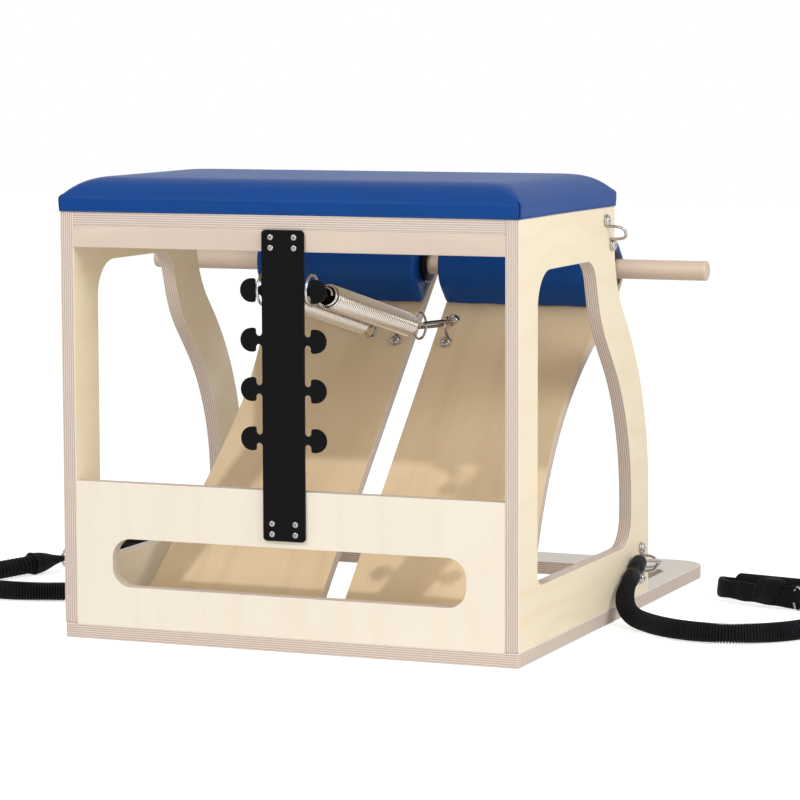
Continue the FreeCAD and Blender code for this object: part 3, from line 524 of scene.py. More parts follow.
def plated(name, tone, rough):
    """Polished or zinc plate: bright metal with faint rub marks and a slightly uneven shine."""
    base = getattr(colours(), tone)
    finish = Finish(name)
    place = finish.place()
    cloud = finish.noise(place, 90.0)
    x, y, z = (finish.along(place, axis) for axis in (ACROSS, AHEAD, UP))
    rubs = finish.noise(finish.joined(x * 2600, y * 240, z * 2600), 1.0, 2.0)
    return finish.done(
        Base_Color=finish.mixed(cloud, shade(base, 0.93), base),
        Roughness=rough + cloud * 0.07 + rubs * 0.05,
        Normal=finish.bump(rubs, 0.00002, 0.3),
        Metallic=1.0)


def wound(name):
    """Spring wire: bright plate on the outside of each turn, and painted shade where it runs in between its
    neighbours.

    The UV's second coordinate goes once round the wire from its outermost line.
    """
    base = colours().spring
    finish = Finish(name)
    _, share = finish.strip()
    # Share of the wire's bright outside; towards the neighbouring turns the colour falls to painted shade.
    outside_unshaded = ((share * (2 * math.pi) + math.pi / 2).sine() * 1.5).limited(0, 1)
    cloud = finish.noise(finish.place(), 90.0)
    return finish.done(
        Base_Color=finish.mixed(outside_unshaded, shade(base, 0.05), base),
        Roughness=0.14 + cloud * 0.08,
        Metallic=1.0)


def painted(name, tone, rough, grain, depth, shine=0.1, share=1.0):
    """Paint, plastic, rubber, or vinyl made darker as painted shade for the seams: a share of one colour, a
    fine orange-peel skin, an uneven gloss.
    """
    base = shade(getattr(colours(), tone), share)
    finish = Finish(name)
    place = finish.place()
    skin = finish.noise(place, grain, 2.0)
    cloud = finish.noise(place, 35.0)
    return finish.done(
        Base_Color=finish.mixed(cloud, shade(base, 0.75), shade(base, 1.3)),
        Roughness=rough + cloud * 0.14,
        Normal=finish.bump(skin, depth, 0.5),
        Specular_IOR_Level=shine)


def sleeve(name):
    """Gathered nylon sleeve: its UV counts gathers, so a sine gives the crowns a painted highlight and the
    valleys painted shade.
    """
    tones = colours()
    finish = Finish(name)
    ribs, round_metres = finish.strip()
    crown = abs((ribs * math.pi).sine()) ** 3
    threads = (ribs * 40).sine() * (round_metres * 7000).sine()
    lint = finish.noise(finish.place(), 1400.0, 2.0)
    # Pale crowns are a painted highlight and dark valleys painted shade; lint and threads add real tone.
    crown_light_and_lint = (crown * 0.75 + (lint - 0.4) * 0.5 + threads * 0.08).limited(0, 1)
    return finish.done(
        Base_Color=finish.mixed(crown_light_and_lint, shade(tones.fabric, 0.45), tones.fabric_crown_highlight),
        Roughness=0.6 + lint * 0.14,
        Normal=finish.bump(threads + lint, 0.0001, 0.6),
        Specular_IOR_Level=0.12)


def webbing(name):
    """Woven strap: chevrons of warp and weft drawn on the strap's own UV, in metres along and across it."""
    base = colours().fabric
    finish = Finish(name)
    run, wide = finish.strip()
    zigzag = abs(wide * 180 - (wide * 180).floor() - 0.5)
    twill = ((run * 420 + zigzag) * (2 * math.pi)).sine()
    cords = (wide * 5200).sine()
    weave = twill * 0.6 + cords * 0.4
    return finish.done(
        Base_Color=finish.mixed((weave * 0.5 + 0.5).limited(0, 1), shade(base, 0.5), shade(base, 1.8)),
        Roughness=0.7,
        Normal=finish.bump(weave, 0.00025, 0.7),
        Specular_IOR_Level=0.12)


def foam(name):
    """Closed-cell foam: soft black skin full of tiny pits, with painted shade in their hollows."""
    base = colours().rubber
    finish = Finish(name)
    place = finish.place()
    pits = finish.node("ShaderNodeTexVoronoi", {"feature": "F1"}, {"Vector": place, "Scale": 1300.0})
    cloud = finish.noise(place, 60.0)
    # Darker at each pit's centre: painted shade in the hollows.
    tone = (pits * 0.8 + cloud * 0.3).limited(0, 1)
    return finish.done(
        Base_Color=finish.mixed(tone, shade(base, 0.5), shade(base, 1.25)),
        Roughness=0.82 + cloud * 0.1,
        Normal=finish.bump(pits, 0.0002, 0.6),
        Specular_IOR_Level=0.12)


# Shared finishes: the record's slot, the function that makes it, and what that takes
FINISHES = {
    "pressed_vinyl": ("blue_vinyl", vinyl),
    # The seams' vinyl at 0.3 of its colour: painted shade in the corner creases.
    "seam_vinyl": ("blue_vinyl", painted, "vinyl", 0.5, 600.0, 0.00005, 0.1, 0.3),
    "chrome_plate": ("chrome", plated, "chrome", 0.06),
    "spring_chrome": ("chrome", wound),
    "zinc_plate": ("zinc_steel", plated, "zinc", 0.28),
    "rack_paint": ("black_steel", painted, "paint", 0.42, 700.0, 0.00008),
    "moulded_plastic": ("black_plastic", painted, "plastic", 0.38, 500.0, 0.00006),
    "moulded_rubber": ("black_rubber", painted, "rubber", 0.34, 900.0, 0.00008, 0.15),
    "cord_sleeve": ("black_fabric", sleeve),
    "strap_webbing": ("black_fabric", webbing),
    "grip_foam": ("black_foam", foam),
    "dowel_beech": ("dowel_wood", beech),
}


def finished(name):
    """A shared finish, made when it is first asked for, and its slot."""
    slot, make, *values = FINISHES[name]
    return bpy.data.materials.get(name) or make(name, *values), slot


def unit(vectors):
    """Each vector, or row of vectors, over its own length."""
    return vectors / np.linalg.norm(vectors, axis=-1, keepdims=True)


def pedal_point(x, y, z):
    """A point of the pedals' own frame, y along the board from the pin and z square to it, in the chair's."""
    x, y, z = np.broadcast_arrays(x, y, z)
    ahead = y * math.cos(PEDAL_ANGLE) - z * math.sin(PEDAL_ANGLE)
    rise = y * math.sin(PEDAL_ANGLE) + z * math.cos(PEDAL_ANGLE)
    return np.stack((x, ahead, rise), axis=-1) + PIN


def pedal_way(y, z):
    return pedal_point(0.0, y, z) - PIN


def quads(rows, columns, wrap_rows, wrap_columns):
    """Corner indices of the faces of a grid, and the same corners without the wrap, for the UV map."""
    row = np.arange(rows if wrap_rows else rows - 1)
    column = np.arange(columns if wrap_columns else columns - 1)
    row, column = (part.ravel() for part in np.meshgrid(row, column, indexing="ij"))
    corner_rows = np.stack((row, row + 1, row + 1, row), axis=1)
    corner_columns = np.stack((column, column, column + 1, column + 1), axis=1)
    return (corner_rows % rows) * columns + corner_columns % columns, corner_rows, corner_columns


def surface(name, grids, material, wrap_rows=False, wrap_columns=True, uv=None, sharp=50):
    """Mesh object of one or more grids of points, welded where rows or columns meet, with its faces outward.

    uv gives the metres along each grid's rows and columns; without it the map counts rows and columns.
    """
    points, faces, corners = [], [], []
    offset = 0
    for grid in grids:
        rows, columns = grid.shape[:2]
        index, corner_rows, corner_columns = quads(rows, columns, wrap_rows, wrap_columns)
        along, across = uv or (np.arange(rows + 1), np.arange(columns + 1))
        corners.append(np.stack((along[corner_rows], across[corner_columns]), axis=-1).reshape(-1, 2))
        points.append(grid.reshape(-1, 3))
        faces.append(index + offset)
        offset += rows * columns
    mesh = bpy.data.meshes.new(name)
    mesh.from_pydata(np.concatenate(points).tolist(), [], np.concatenate(faces).tolist())
    corners = np.concatenate(corners).ravel().astype(np.float32)
    mesh.uv_layers.new(name="UVMap").data.foreach_set("uv", corners)
    weld(mesh)
    return linked(name, mesh, material, sharp)


def weld(mesh):
    """Welds doubles, drops faces that shrink to nothing and turns the rest outward."""
    shape = bmesh.new()
    shape.from_mesh(mesh)
    bmesh.ops.remove_doubles(shape, verts=shape.verts, dist=1e-6)
    bmesh.ops.dissolve_degenerate(shape, edges=shape.edges, dist=1e-7)
    bmesh.ops.recalc_face_normals(shape, faces=shape.faces)
    shape.to_mesh(mesh)
    shape.free()


def linked(name, mesh, material, sharp):
    """Object of a mesh in the scene, smooth up to the sharp angle, with its one material."""
    mesh.polygons.foreach_set("use_smooth", np.ones(len(mesh.polygons), dtype=bool))
    mesh.set_sharp_from_angle(angle=math.radians(sharp))
    mesh.materials.clear()
    mesh.materials.append(material)
    piece = bpy.data.objects.new(name, mesh)
    bpy.context.scene.collection.objects.link(piece)
    return piece


def dress(piece, body, slot, *nodes):
    """Puts a finished piece on its body and hides the CAD nodes that it stands for; its slot is not used."""
    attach(piece, body)
    if nodes:
        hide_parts(*nodes)
    return piece


def made(name, grids, finish, body, *nodes, **form):
    """A piece of grids in a shared finish, on its body, in place of the CAD nodes that it stands for."""
    material, slot = finished(finish)
    return dress(surface(name, grids, material, **form), body, slot, *nodes)


def eased(node, width, material, body, slot):
    """Copy of a CAD node with its flat faces joined and its sharp edges rounded over."""
    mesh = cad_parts[node].data.copy()
    shape = bmesh.new()
    shape.from_mesh(mesh)
    bmesh.ops.remove_doubles(shape, verts=shape.verts, dist=2e-6)
    bmesh.ops.dissolve_limit(shape, angle_limit=math.radians(0.8), verts=shape.verts, edges=shape.edges)
    crisp = [edge for edge in shape.edges if edge.is_manifold and edge.calc_face_angle() > math.radians(50)]
    bmesh.ops.bevel(shape, geom=crisp, offset=width, segments=2, profile=0.5, affect="EDGES",
                    clamp_overlap=True)
    shape.to_mesh(mesh)
    shape.free()
    piece = linked(node + "_eased", mesh, material, 60)
    piece.modifiers.new("even_normals", "WEIGHTED_NORMAL").keep_sharp = True
    return dress(piece, body, slot, node)


def coat(node, material):
    """Gives a CAD node that stays in view its finish."""
    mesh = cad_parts[node].data
    mesh.materials.clear()
    mesh.materials.append(material)


def frame_points(node):
    """Every corner of a CAD node, as rows."""
    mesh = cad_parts[node].data
    points = np.empty(len(mesh.vertices) * 3)
    mesh.vertices.foreach_get("co", points)
    return points.reshape(-1, 3)


def eased_step(share):
    """0 below 0, 1 above 1, and an even S between."""
    share = np.clip(share, 0, 1)
    return share * share * (3 - 2 * share)


def hump(value, middle, width, order=2):
    """A bell of height 1 about a middle, flatter on top for a larger even order."""
    return np.exp(-((value - middle) / width) ** order)


def angles(count):
    """Even angles once round, the last one short of the first."""
    return np.linspace(0, 2 * np.pi, count, endpoint=False)


def superellipse(angle, powers):
    """Points of a circle at those angles, each part raised to its power with its sign kept."""
    ring = np.stack((np.cos(angle), np.sin(angle)), axis=-1)
    return np.sign(ring) * np.abs(ring) ** powers


def circle(radius, count):
    """Points round a circle, as (cosine, sine) times the radius."""
    angle = angles(count)
    return radius * np.stack((np.cos(angle), np.sin(angle)), axis=1)


def sweep(path, up, profile, wrap=False):
    """Grid of a profile of (side, up) points, one for all or one for each station, carried along a path."""
    if wrap:
        tangent = unit(np.roll(path, -1, axis=0) - np.roll(path, 1, axis=0))
    else:
        tangent = unit(np.gradient(path, axis=0))
    side = unit(np.cross(tangent, up))
    rise = np.cross(side, tangent)
    return path[:, None] + profile[..., :1] * side[:, None] + profile[..., 1:] * rise[:, None]


def capped(grid):
    """A tube's grid with both ends drawn together to a point, so that the tube is closed."""
    first, last = (np.broadcast_to(end.mean(axis=1, keepdims=True), end.shape)
                   for end in (grid[:1], grid[-1:]))
    return np.concatenate((first, grid, last))


def capped_run(run):
    """Metres along a capped tube's rows, and past its last one, for the UV map."""
    return np.concatenate((run[:1], run, run[-1:], run[-1:]))


def grounded(grid):
    """The grid with nothing lower than a hair over the floor."""
    return np.maximum(grid, (-np.inf, -np.inf, GROUND_GAP))


def distances(path):
    """Metres run along a path at each of its points."""
    steps = np.linalg.norm(np.diff(path, axis=0), axis=1)
    return np.concatenate(([0.0], np.cumsum(steps)))


def resampled(path, count):
    """The path again, at evenly spaced points."""
    run = distances(path)
    even = np.linspace(0, run[-1], count)
    return np.stack([np.interp(even, run, path[:, axis]) for axis in range(3)], axis=1)


def smooth_line(name, points, closed=False):
    """Points along the smooth curve, open or closed, whose control points are those."""
    curve = bpy.data.curves.new(name, "CURVE")
    curve.dimensions = "3D"
    spline = curve.splines.new("NURBS")
    spline.points.add(len(points) - 1)
    spline.points.foreach_set("co", np.column_stack((points, np.ones(len(points)))).ravel())
    spline.order_u = 3
    spline.use_endpoint_u = not closed
    spline.use_cyclic_u = closed
    spline.resolution_u = 24
    holder = bpy.data.objects.new(name, curve)
    mesh = bpy.data.meshes.new_from_object(holder)
    line = np.empty(len(mesh.vertices) * 3)
    mesh.vertices.foreach_get("co", line)
    bpy.data.objects.remove(holder)
    bpy.data.curves.remove(curve)
    bpy.data.meshes.remove(mesh)
    return line.reshape(-1, 3)


def square_to(axis):
    """Two directions square to an axis and to each other."""
    side = unit(np.cross(UP if abs(axis[2]) < 0.9 else ACROSS, axis))
    return side, np.cross(axis, side)


def turned(profile, origin, axis, count):
    """Grid of a lathe form: rows of (along, radius) turned about an axis from an origin."""
    side, rise = square_to(axis)
    ring = circle(1.0, count)
    radial = ring[:, :1] * side + ring[:, 1:] * rise
    return origin + profile[:, None, :1] * axis + profile[:, None, 1:] * radial


def rounded_rod(start, end, radius, rounding, steps=5):
    """Lathe profile of a rod with quarter-round ends, closed on its axis."""
    angle = np.linspace(0, np.pi / 2, steps)
    bend = rounding * (1 - np.sin(angle))
    reach = radius - rounding * (1 - np.cos(angle))
    low = np.stack((start + bend, reach), axis=1)[::-1]
    high = np.stack((end - bend, reach), axis=1)
    return np.concatenate(([[start, 0.0]], low, high, [[end, 0.0]]))


def wire_ring(node, middle, along, radius, wire, body, count=72):
    """Ring of round wire in the upright plane of a direction."""
    rise = np.cross(unit(np.cross(along, UP)), along)
    ring = circle(radius, count)
    path = middle + ring[:, :1] * along + ring[:, 1:] * rise
    grid = sweep(path, np.cross(along, rise), circle(wire, 12), wrap=True)
    return made(node + "_wire", [grid], "chrome_plate", body, node, wrap_rows=True)


def snap(node, near, far, body, tilt):
    """Snap link: a stadium of round wire on a superellipse, thicker where its gate's sleeve sits."""
    way = unit(far - near)
    level = unit(np.cross(way, UP))
    side = math.cos(tilt) * level + math.sin(tilt) * np.cross(level, way)
    theta = angles(120)
    link = superellipse(theta, (0.62, 0.5)) * (np.linalg.norm(far - near) / 2, SNAP_HALF_WIDTH)
    path = (near + far) / 2 + link[:, :1] * way + link[:, 1:] * side
    gate = 1 + 0.14 * hump(theta, np.pi / 2, 0.35, 6) - 0.35 * hump(theta, 0.75, 0.03)
    grid = sweep(path, np.cross(way, side), circle(SNAP_WIRE, 14) * gate[:, None, None], wrap=True)
    return made(node + "_link", [grid], "chrome_plate", body, node, wrap_rows=True)


def eyes(side, sign):
    """Each pad eye of one side: node, body, seat, and the directions along its feet and out of the board."""
    for level, (y, z, tilt) in PANEL_EYES.items():
        along = AHEAD * math.cos(tilt) + UP * math.sin(tilt)
        seat = np.array((sign * PANEL_OUTSIDE, y, z))
        yield side + "_" + level + "_eye", "frame", seat, along, ACROSS * sign
    seat = pedal_point(sign * PEDAL_EYE[0], PEDAL_EYE[1], PEDAL_FACE)
    yield side + "_pedal_eye", "pedal_" + side, seat, pedal_way(1.0, 0.0), pedal_way(0.0, 1.0)


def spring_places(side, sign):
    """A coil's start and direction, how far its far eye lies, the pull from there, and the snap's far end."""
    start = SPRING_START * (sign, 1, 1)
    way = unit(np.array((math.sin(SPRING_LEAN[side]), math.cos(SPRING_DROP), -math.sin(SPRING_DROP))))
    rise = EYE_REACH - EYE_WIRE - CLEARANCE - SNAP_WIRE
    anchor = pedal_point(sign * PEDAL_EYE[0], PEDAL_EYE[1], PEDAL_FACE + rise)
    tip = np.max(frame_points(side + "_far_plug") @ way) - start @ way
    far_eye = tip - FAR_EYE_FROM_TIP
    pull = unit(anchor - (start + way * far_eye))
    return start, way, far_eye, pull, anchor


class CHAIR_OT_stage(bpy.types.Operator):
    """White floor and sky, three lamps, and the camera of the photograph"""
    bl_idname = "chair.stage"
    bl_label = "Stage"

    def execute(self, context):
        settings = context.scene.chair_stage
        context.scene.view_settings.view_transform = "Standard"
        context.scene.camera = self.camera(settings.lens)
        context.scene.world = self.sky(settings.sky)
        self.floor()
        self.card()
        for name, (position, target, size) in LAMPS.items():
            self.lamp(name + "_lamp", position, target, size, getattr(settings, name))
        return {"FINISHED"}

    def placed(self, name, data, position, side, ahead):
        """Camera or lamp that looks ahead from its place, with a direction for its right side."""
        matrix = Matrix(np.column_stack((side, np.cross(side, ahead), -ahead)).tolist()).to_4x4()
        matrix.translation = position
        item = bpy.data.objects.new(name, data)
        item.matrix_world = matrix
        bpy.context.scene.collection.objects.link(item)
        return item

    def camera(self, lens):
        """The camera stands behind the chair and to its right, looking slightly down."""
        data = bpy.data.cameras.new("photo_camera")
        data.lens = lens
        data.sensor_width = SENSOR_WIDTH
        facing = AHEAD * math.cos(CAMERA_YAW) - ACROSS * math.sin(CAMERA_YAW)
        ahead = facing * math.cos(CAMERA_PITCH) - UP * math.sin(CAMERA_PITCH)
        level = ACROSS * math.cos(CAMERA_YAW) + AHEAD * math.sin(CAMERA_YAW)
        side = level * math.cos(CAMERA_ROLL) + np.cross(level, ahead) * math.sin(CAMERA_ROLL)
        return self.placed("photo_camera", data, CAMERA_PLACE, side, ahead)

    def lamp(self, name, position, target, size, watts):
        data = bpy.data.lights.new(name, "AREA")
        data.size = size
        data.energy = watts
        way = unit(np.array(target) - position)
        self.placed(name, data, position, unit(np.cross(way, UP)), way)

    def sky(self, strength):
        """White to the camera, in reflections and through glass, and a plain light otherwise."""
        sky = Finish("white_sky", "worlds")
        light = sky.nodes["Background"]
        sky.connect(light, {"Color": SKY_LIGHT, "Strength": strength})
        white = sky.node("ShaderNodeBackground", sockets={"Color": (1, 1, 1)})
        sky.show("World Output", Wire(sky, light.outputs[0]), white)
        return sky.owner

    def sheet(self, name, material, corner, first, second):
        """Flat rectangle from a corner along two edges."""
        corner, first, second = np.array((corner, first, second), dtype=float)
        grid = np.array(((corner, corner + second), (corner + first, corner + first + second)))
        return surface(name, [grid], material, wrap_columns=False)

    def floor(self):
        """Plain white floor: it takes the chair's shadow and glows to the camera, to meet the sky."""
        floor = Finish("white_floor")
        material = floor.done(Base_Color=(FLOOR_GREY,) * 3, Roughness=0.85, Specular_IOR_Level=0.1)
        plain = Wire(floor, floor.nodes["Principled BSDF"].outputs[0])
        glow = floor.node("ShaderNodeEmission", sockets={"Strength": FLOOR_GLOW})
        floor.show("Material Output", plain, floor.node("ShaderNodeAddShader", sockets={0: plain, 1: glow}))
        self.sheet("floor", material, (-9, -7, FLOOR_LEVEL), (18, 0, 0), (0, 18, 0))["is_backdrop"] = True

    def card(self):
        """Dark card behind the camera, only seen in shiny surfaces, to give them depth."""
        material = Finish("dark_card").done(Base_Color=(CARD_GREY,) * 3, Roughness=0.9)
        card = self.sheet("dark_card", material, (-4, -6, -0.3), (10, 0, 0), (0, 0, 2.7))
        for ray in ("visible_camera", "visible_diffuse", "visible_shadow"):
            setattr(card, ray, False)
        card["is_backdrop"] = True


class CHAIR_OT_plywood(bpy.types.Operator):
    """Birch plywood boards with eased edges"""
    bl_idname = "chair.plywood"
    bl_label = "Plywood"

    def execute(self, context):
        tones = colours()
        birch = (tones.birch, tones.birch_figure)
        panel = (tones.panel, tones.panel_figure)
        # Base, panels and pedals take lit and shaded copies of the birch: painted light and shade.
        boards = {
            "base_board": (UP, AHEAD, BOARD_PLIES, (tones.base, tones.base_figure)),
            "rear_board": (AHEAD, UP, BOARD_PLIES, birch),
            "rear_rail": (AHEAD, ACROSS, BOARD_PLIES, (tones.rail, tones.birch_figure)),
            "seat_board": (UP, ACROSS, BOARD_PLIES, birch),
            "seat_pad_board": (UP, ACROSS, PAD_BOARD_PLIES, birch),
            "left_side_panel": (ACROSS, AHEAD, BOARD_PLIES, panel),
            "right_side_panel": (ACROSS, AHEAD, BOARD_PLIES, panel),
        }
        easing = sizes().easing
        for node, (normal, grain, plies, veneer) in boards.items():
            low, high = (np.array(corner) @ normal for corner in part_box(node))
            finish = plywood(node + "_ply", normal, grain, low, high - low, plies, *veneer)
            eased(node, easing, finish, "frame", "birch_ply")
        # The pedals' tan tone is painted shade on the birch under the seat.
        normal = pedal_way(0.0, 1.0)
        low = PIN @ normal + PEDAL_FACE - PEDAL_THICK
        pedal = plywood("pedal_ply", normal, pedal_way(1.0, 0.0), low, PEDAL_THICK, PEDAL_PLIES,
                        tones.pedal, tones.pedal_figure)
        for side, _ in SIDES:
            eased(side + "_pedal_board", easing, pedal, "pedal_" + side, "birch_ply")
            coat(side + "_pad_core", pedal)
        return {"FINISHED"}


class CHAIR_OT_seat(bpy.types.Operator):
    """Crowned seat cushion with sewn corners and a bottom hem"""
    bl_idname = "chair.seat"
    bl_label = "Seat cushion"

    def ring(self, half_x, half_y, corner):
        """Rounded rectangles, one for each row of half sizes: straight sides with quarter circles between.

        Half of each is built, from one corner over two sides, and the other half is its reflection.
        """
        turn = np.linspace(0, np.pi / 2, SEAT_CORNER_POINTS)
        step = np.linspace(-1, 1, SEAT_SIDE_POINTS + 2)[1:-1]
        full = np.ones_like(step)
        half_x, half_y, corner = half_x[:, None], half_y[:, None], corner[:, None]
        flat_x, flat_y = half_x - corner, half_y - corner
        arc_x, arc_y = corner * np.cos(turn), corner * np.sin(turn)
        x = np.concatenate((flat_x + arc_x, -flat_x * step, -flat_x - arc_y, -half_x * full), axis=1)
        y = np.concatenate((flat_y + arc_y, half_y * full, flat_y + arc_x, -flat_y * step), axis=1)
        return np.concatenate((x, -x), axis=1), np.concatenate((y, -y), axis=1)

    def profile(self, deepest):
        """Inset and height of the cover from the hem up the side, over the shoulder and along the crown.

        The side bulges by a small sine. From its top edge the cover rises as 1 less a power of what is left
        of the shoulder's width, steep at the edge and level where the shoulder ends.
        """
        shape = sizes()
        rise = np.linspace(0, 1, 10)
        bulge = SEAT_SIDE_BULGE * (1 - np.sin(np.pi * (0.1 + 0.5 * rise)))
        side = np.stack((bulge, rise * shape.cushion_side), axis=1)
        share = np.linspace(0, 1, 40)[1:] ** 1.4
        climb = shape.cushion_side + shape.cushion_rise * (1 - (1 - share) ** shape.cushion_curve)
        shoulder = np.stack((shape.cushion_shoulder * share, climb), axis=1)
        inward = np.linspace(0, 1, 12)[1:]
        flat = shape.cushion_shoulder + (deepest - shape.cushion_shoulder) * inward
        middle = np.stack((flat, climb[-1] + SEAT_CROWN_BULGE * np.sin(np.pi / 2 * inward)), axis=1)
        return np.concatenate((side, shoulder, middle))

    def execute(self, context):
        low, high = (np.array(corner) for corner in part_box("seat_cushion"))
        middle = (low + high) / 2
        half = (high - low) / 2
        inset, height = self.profile(half[1] - 0.0005).T
        corner = np.minimum(SEAT_CORNER + 0.45 * np.minimum(inset, 0.05), half[1] - inset)
        x, y = self.ring(half[0] - inset, half[1] - inset, corner)
        pull = SEAT_SIDE_PULL * np.exp(-inset / 0.03)[:, None]
        x = x * (1 - pull / half[0] * np.cos(0.5 * np.pi * y / half[1]) ** 2)
        y = y * (1 - pull / half[1] * np.cos(0.5 * np.pi * x / half[0]) ** 2)
        z = np.broadcast_to(low[2] + height[:, None], x.shape)
        cover = np.stack((x + middle[0], y + middle[1], z), axis=-1)
        under = np.broadcast_to(cover[:1].mean(axis=1, keepdims=True), cover[:1].shape)
        ridge = cover[-1:] * (1, 0, 1) + AHEAD * middle[1]
        closed = np.concatenate((under, cover, ridge))
        cushion = made("seat_cushion_cover", [closed], "pressed_vinyl", "frame", "seat_cushion")
        self.seams(cover, np.flatnonzero(height <= sizes().cushion_side + 0.004))
        return {"FINISHED"}

    def seams(self, cover, stations):
        """A sewn ridge up each corner and a welt along the hem."""
        corners = np.arange(4) * (SEAT_CORNER_POINTS + SEAT_SIDE_POINTS) + SEAT_CORNER_POINTS // 2
        outward = unit(cover[0, corners] - cover[0].mean(axis=0))
        ridges = [capped(sweep(cover[stations, corner] - out * 0.0004, out, circle(SEAM_RADIUS, 8)))
                  for corner, out in zip(corners, outward)]
        # The corner ridges take the darker vinyl, a painted shade along the seams.
        made("seat_corner_seams", ridges, "seam_vinyl", "frame")
        welt = sweep(cover[0] + UP * WELT_LEVEL, UP, circle(WELT_RADIUS, 8), wrap=True)
        made("seat_hem_welt", [welt], "pressed_vinyl", "frame", wrap_rows=True)


class CHAIR_OT_foot_pads(bpy.types.Operator):
    """Padded foot rolls on the pedals' free ends"""
    bl_idname = "chair.foot_pads"
    bl_label = "Foot pads"

    def outline(self, angle):
        """Distance from the dowel's axis to the cover: a half circle above, a soft box below."""
        wide, tall = np.abs(np.cos(angle)) / PAD_RADIUS, np.abs(np.sin(angle)) / PAD_DROP
        box = (wide ** 14 + tall ** 14) ** (-1 / 14)
        return np.where(np.sin(angle) >= 0, PAD_RADIUS, np.minimum(box, PAD_CORNER_REACH))

    def execute(self, context):
        """Each cover runs from the bore over one dented end, along the roll with its grooves, and back in."""
        angle = angles(96)
        rounding = sizes().pad_rounding
        turn = np.linspace(0, np.pi / 2, 8)
        body = np.linspace(PAD_INNER + rounding, PAD_OUTER - rounding, 46)
        share = (body - PAD_INNER) / (PAD_OUTER - PAD_INNER)
        slack = 0.0005 * np.sin(share * np.pi * 9) * np.sin(share * np.pi)
        groove = 0.0011 * (hump(body, PAD_INNER + PAD_GROOVE_FROM_END, 0.0012)
                           + hump(body, PAD_OUTER - PAD_GROOVE_FROM_END, 0.0012))
        bend = rounding * (1 - np.cos(turn))
        drop = rounding * (1 - np.sin(turn))
        x = np.concatenate((PAD_INNER + bend, body, PAD_OUTER - bend[::-1]))
        radii = self.outline(angle) - np.concatenate((drop, groove + slack, drop[::-1]))[:, None]
        inward = np.linspace(0, 1, 7)[1:]
        low_face, high_face = (edge * (1 - inward[:, None]) + PAD_BORE * inward[:, None]
                               for edge in (radii[:1], radii[-1:]))
        dent = 0.0012 * np.sin(np.pi * inward)
        x = np.concatenate((x[0] + dent[::-1], x, x[-1] - dent))
        radii = np.concatenate((low_face[::-1], radii, high_face))
        y = DOWEL_AXIS[0] + radii * np.cos(angle)
        z = np.maximum(DOWEL_AXIS[1] + radii * np.sin(angle), PEDAL_FACE + 0.0001)
        for side, sign in SIDES:
            grid = pedal_point(sign * x[:, None], y, z)
            pad = made(side + "_foot_pad_cover", [grid], "pressed_vinyl", "pedal_" + side, side + "_foot_pad",
                       wrap_rows=True, sharp=70)
        return {"FINISHED"}


class CHAIR_OT_springs(bpy.types.Operator):
    """Close-wound springs with their plugs and rings"""
    bl_idname = "chair.springs"
    bl_label = "Springs"

    def execute(self, context):
        for side, sign in SIDES:
            self.spring(side, sign)
        return {"FINISHED"}

    def spring(self, side, sign):
        start, way, far_eye, pull, _ = spring_places(side, sign)
        near_body, far_body = "spring_" + side, "spring_" + side + "_end"
        coil_start = COIL_START - COIL_NECK
        coil_end = far_eye - FAR_EYE_FROM_COIL
        first = start + way * coil_start
        last = start + way * coil_end
        grid = self.helix(first, way, coil_end - coil_start)
        material, slot = finished("spring_chrome")
        coil = surface(side + "_coil", [grid], material,
                       uv=(np.arange(len(grid) + 1), np.linspace(0, 1, grid.shape[1] + 1)))
        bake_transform(coil)
        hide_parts(side + "_spring_coil")
        plugs = ((side + "_near_plug", PLUG_START, COIL_START + PLUG_IN_COIL, near_body),
                 (side + "_far_plug", coil_end - PLUG_IN_COIL, far_eye + PLUG_PAST_EYE, far_body))
        for node, low, high, body in plugs:
            rod = turned(rounded_rod(low, high, PLUG_RADIUS, PLUG_ROUNDING), start, way, 28)
            made(node + "_turned", [rod], "moulded_plastic", body, node)
        level = AHEAD * math.cos(SPRING_DROP) - UP * math.sin(SPRING_DROP)
        wire_ring(side + "_rack_ring", start, level, RACK_RING_RADIUS, RING_WIRE, near_body)
        middle = start + way * far_eye + pull * FAR_RING_RADIUS
        wire_ring(side + "_far_ring", middle, pull, FAR_RING_RADIUS, RING_WIRE, far_body)

    def helix(self, first, way, reach):
        """Wire wound about the axis, its angle growing evenly with the distance.

        The radius of the end turns falls with the square of what is left of the neck, on to the plugs.
        """
        shape = sizes()
        wire = shape.coil_wire
        turns = round(reach / (wire + shape.coil_gap))
        share = np.linspace(0, 1, int(turns * 22))
        angle = 2 * np.pi * turns * share
        side = unit(np.cross(way, UP))
        rise = np.cross(side, way)
        radial = np.cos(angle)[:, None] * side + np.sin(angle)[:, None] * rise
        inside = np.clip(np.minimum(share, 1 - share) * turns / NECK_TURNS, 0, 1)
        mean = COIL_RADIUS - wire / 2 - NECK_DRAW * (1 - inside) ** 2
        path = first + way * (wire / 2 + share * (reach - wire))[:, None] + radial * mean[:, None]
        bind = np.cross(unit(np.gradient(path, axis=0)), radial)
        ring = circle(wire / 2, 12)
        return capped(path[:, None] + ring[:, :1] * radial[:, None] + ring[:, 1:] * bind[:, None])


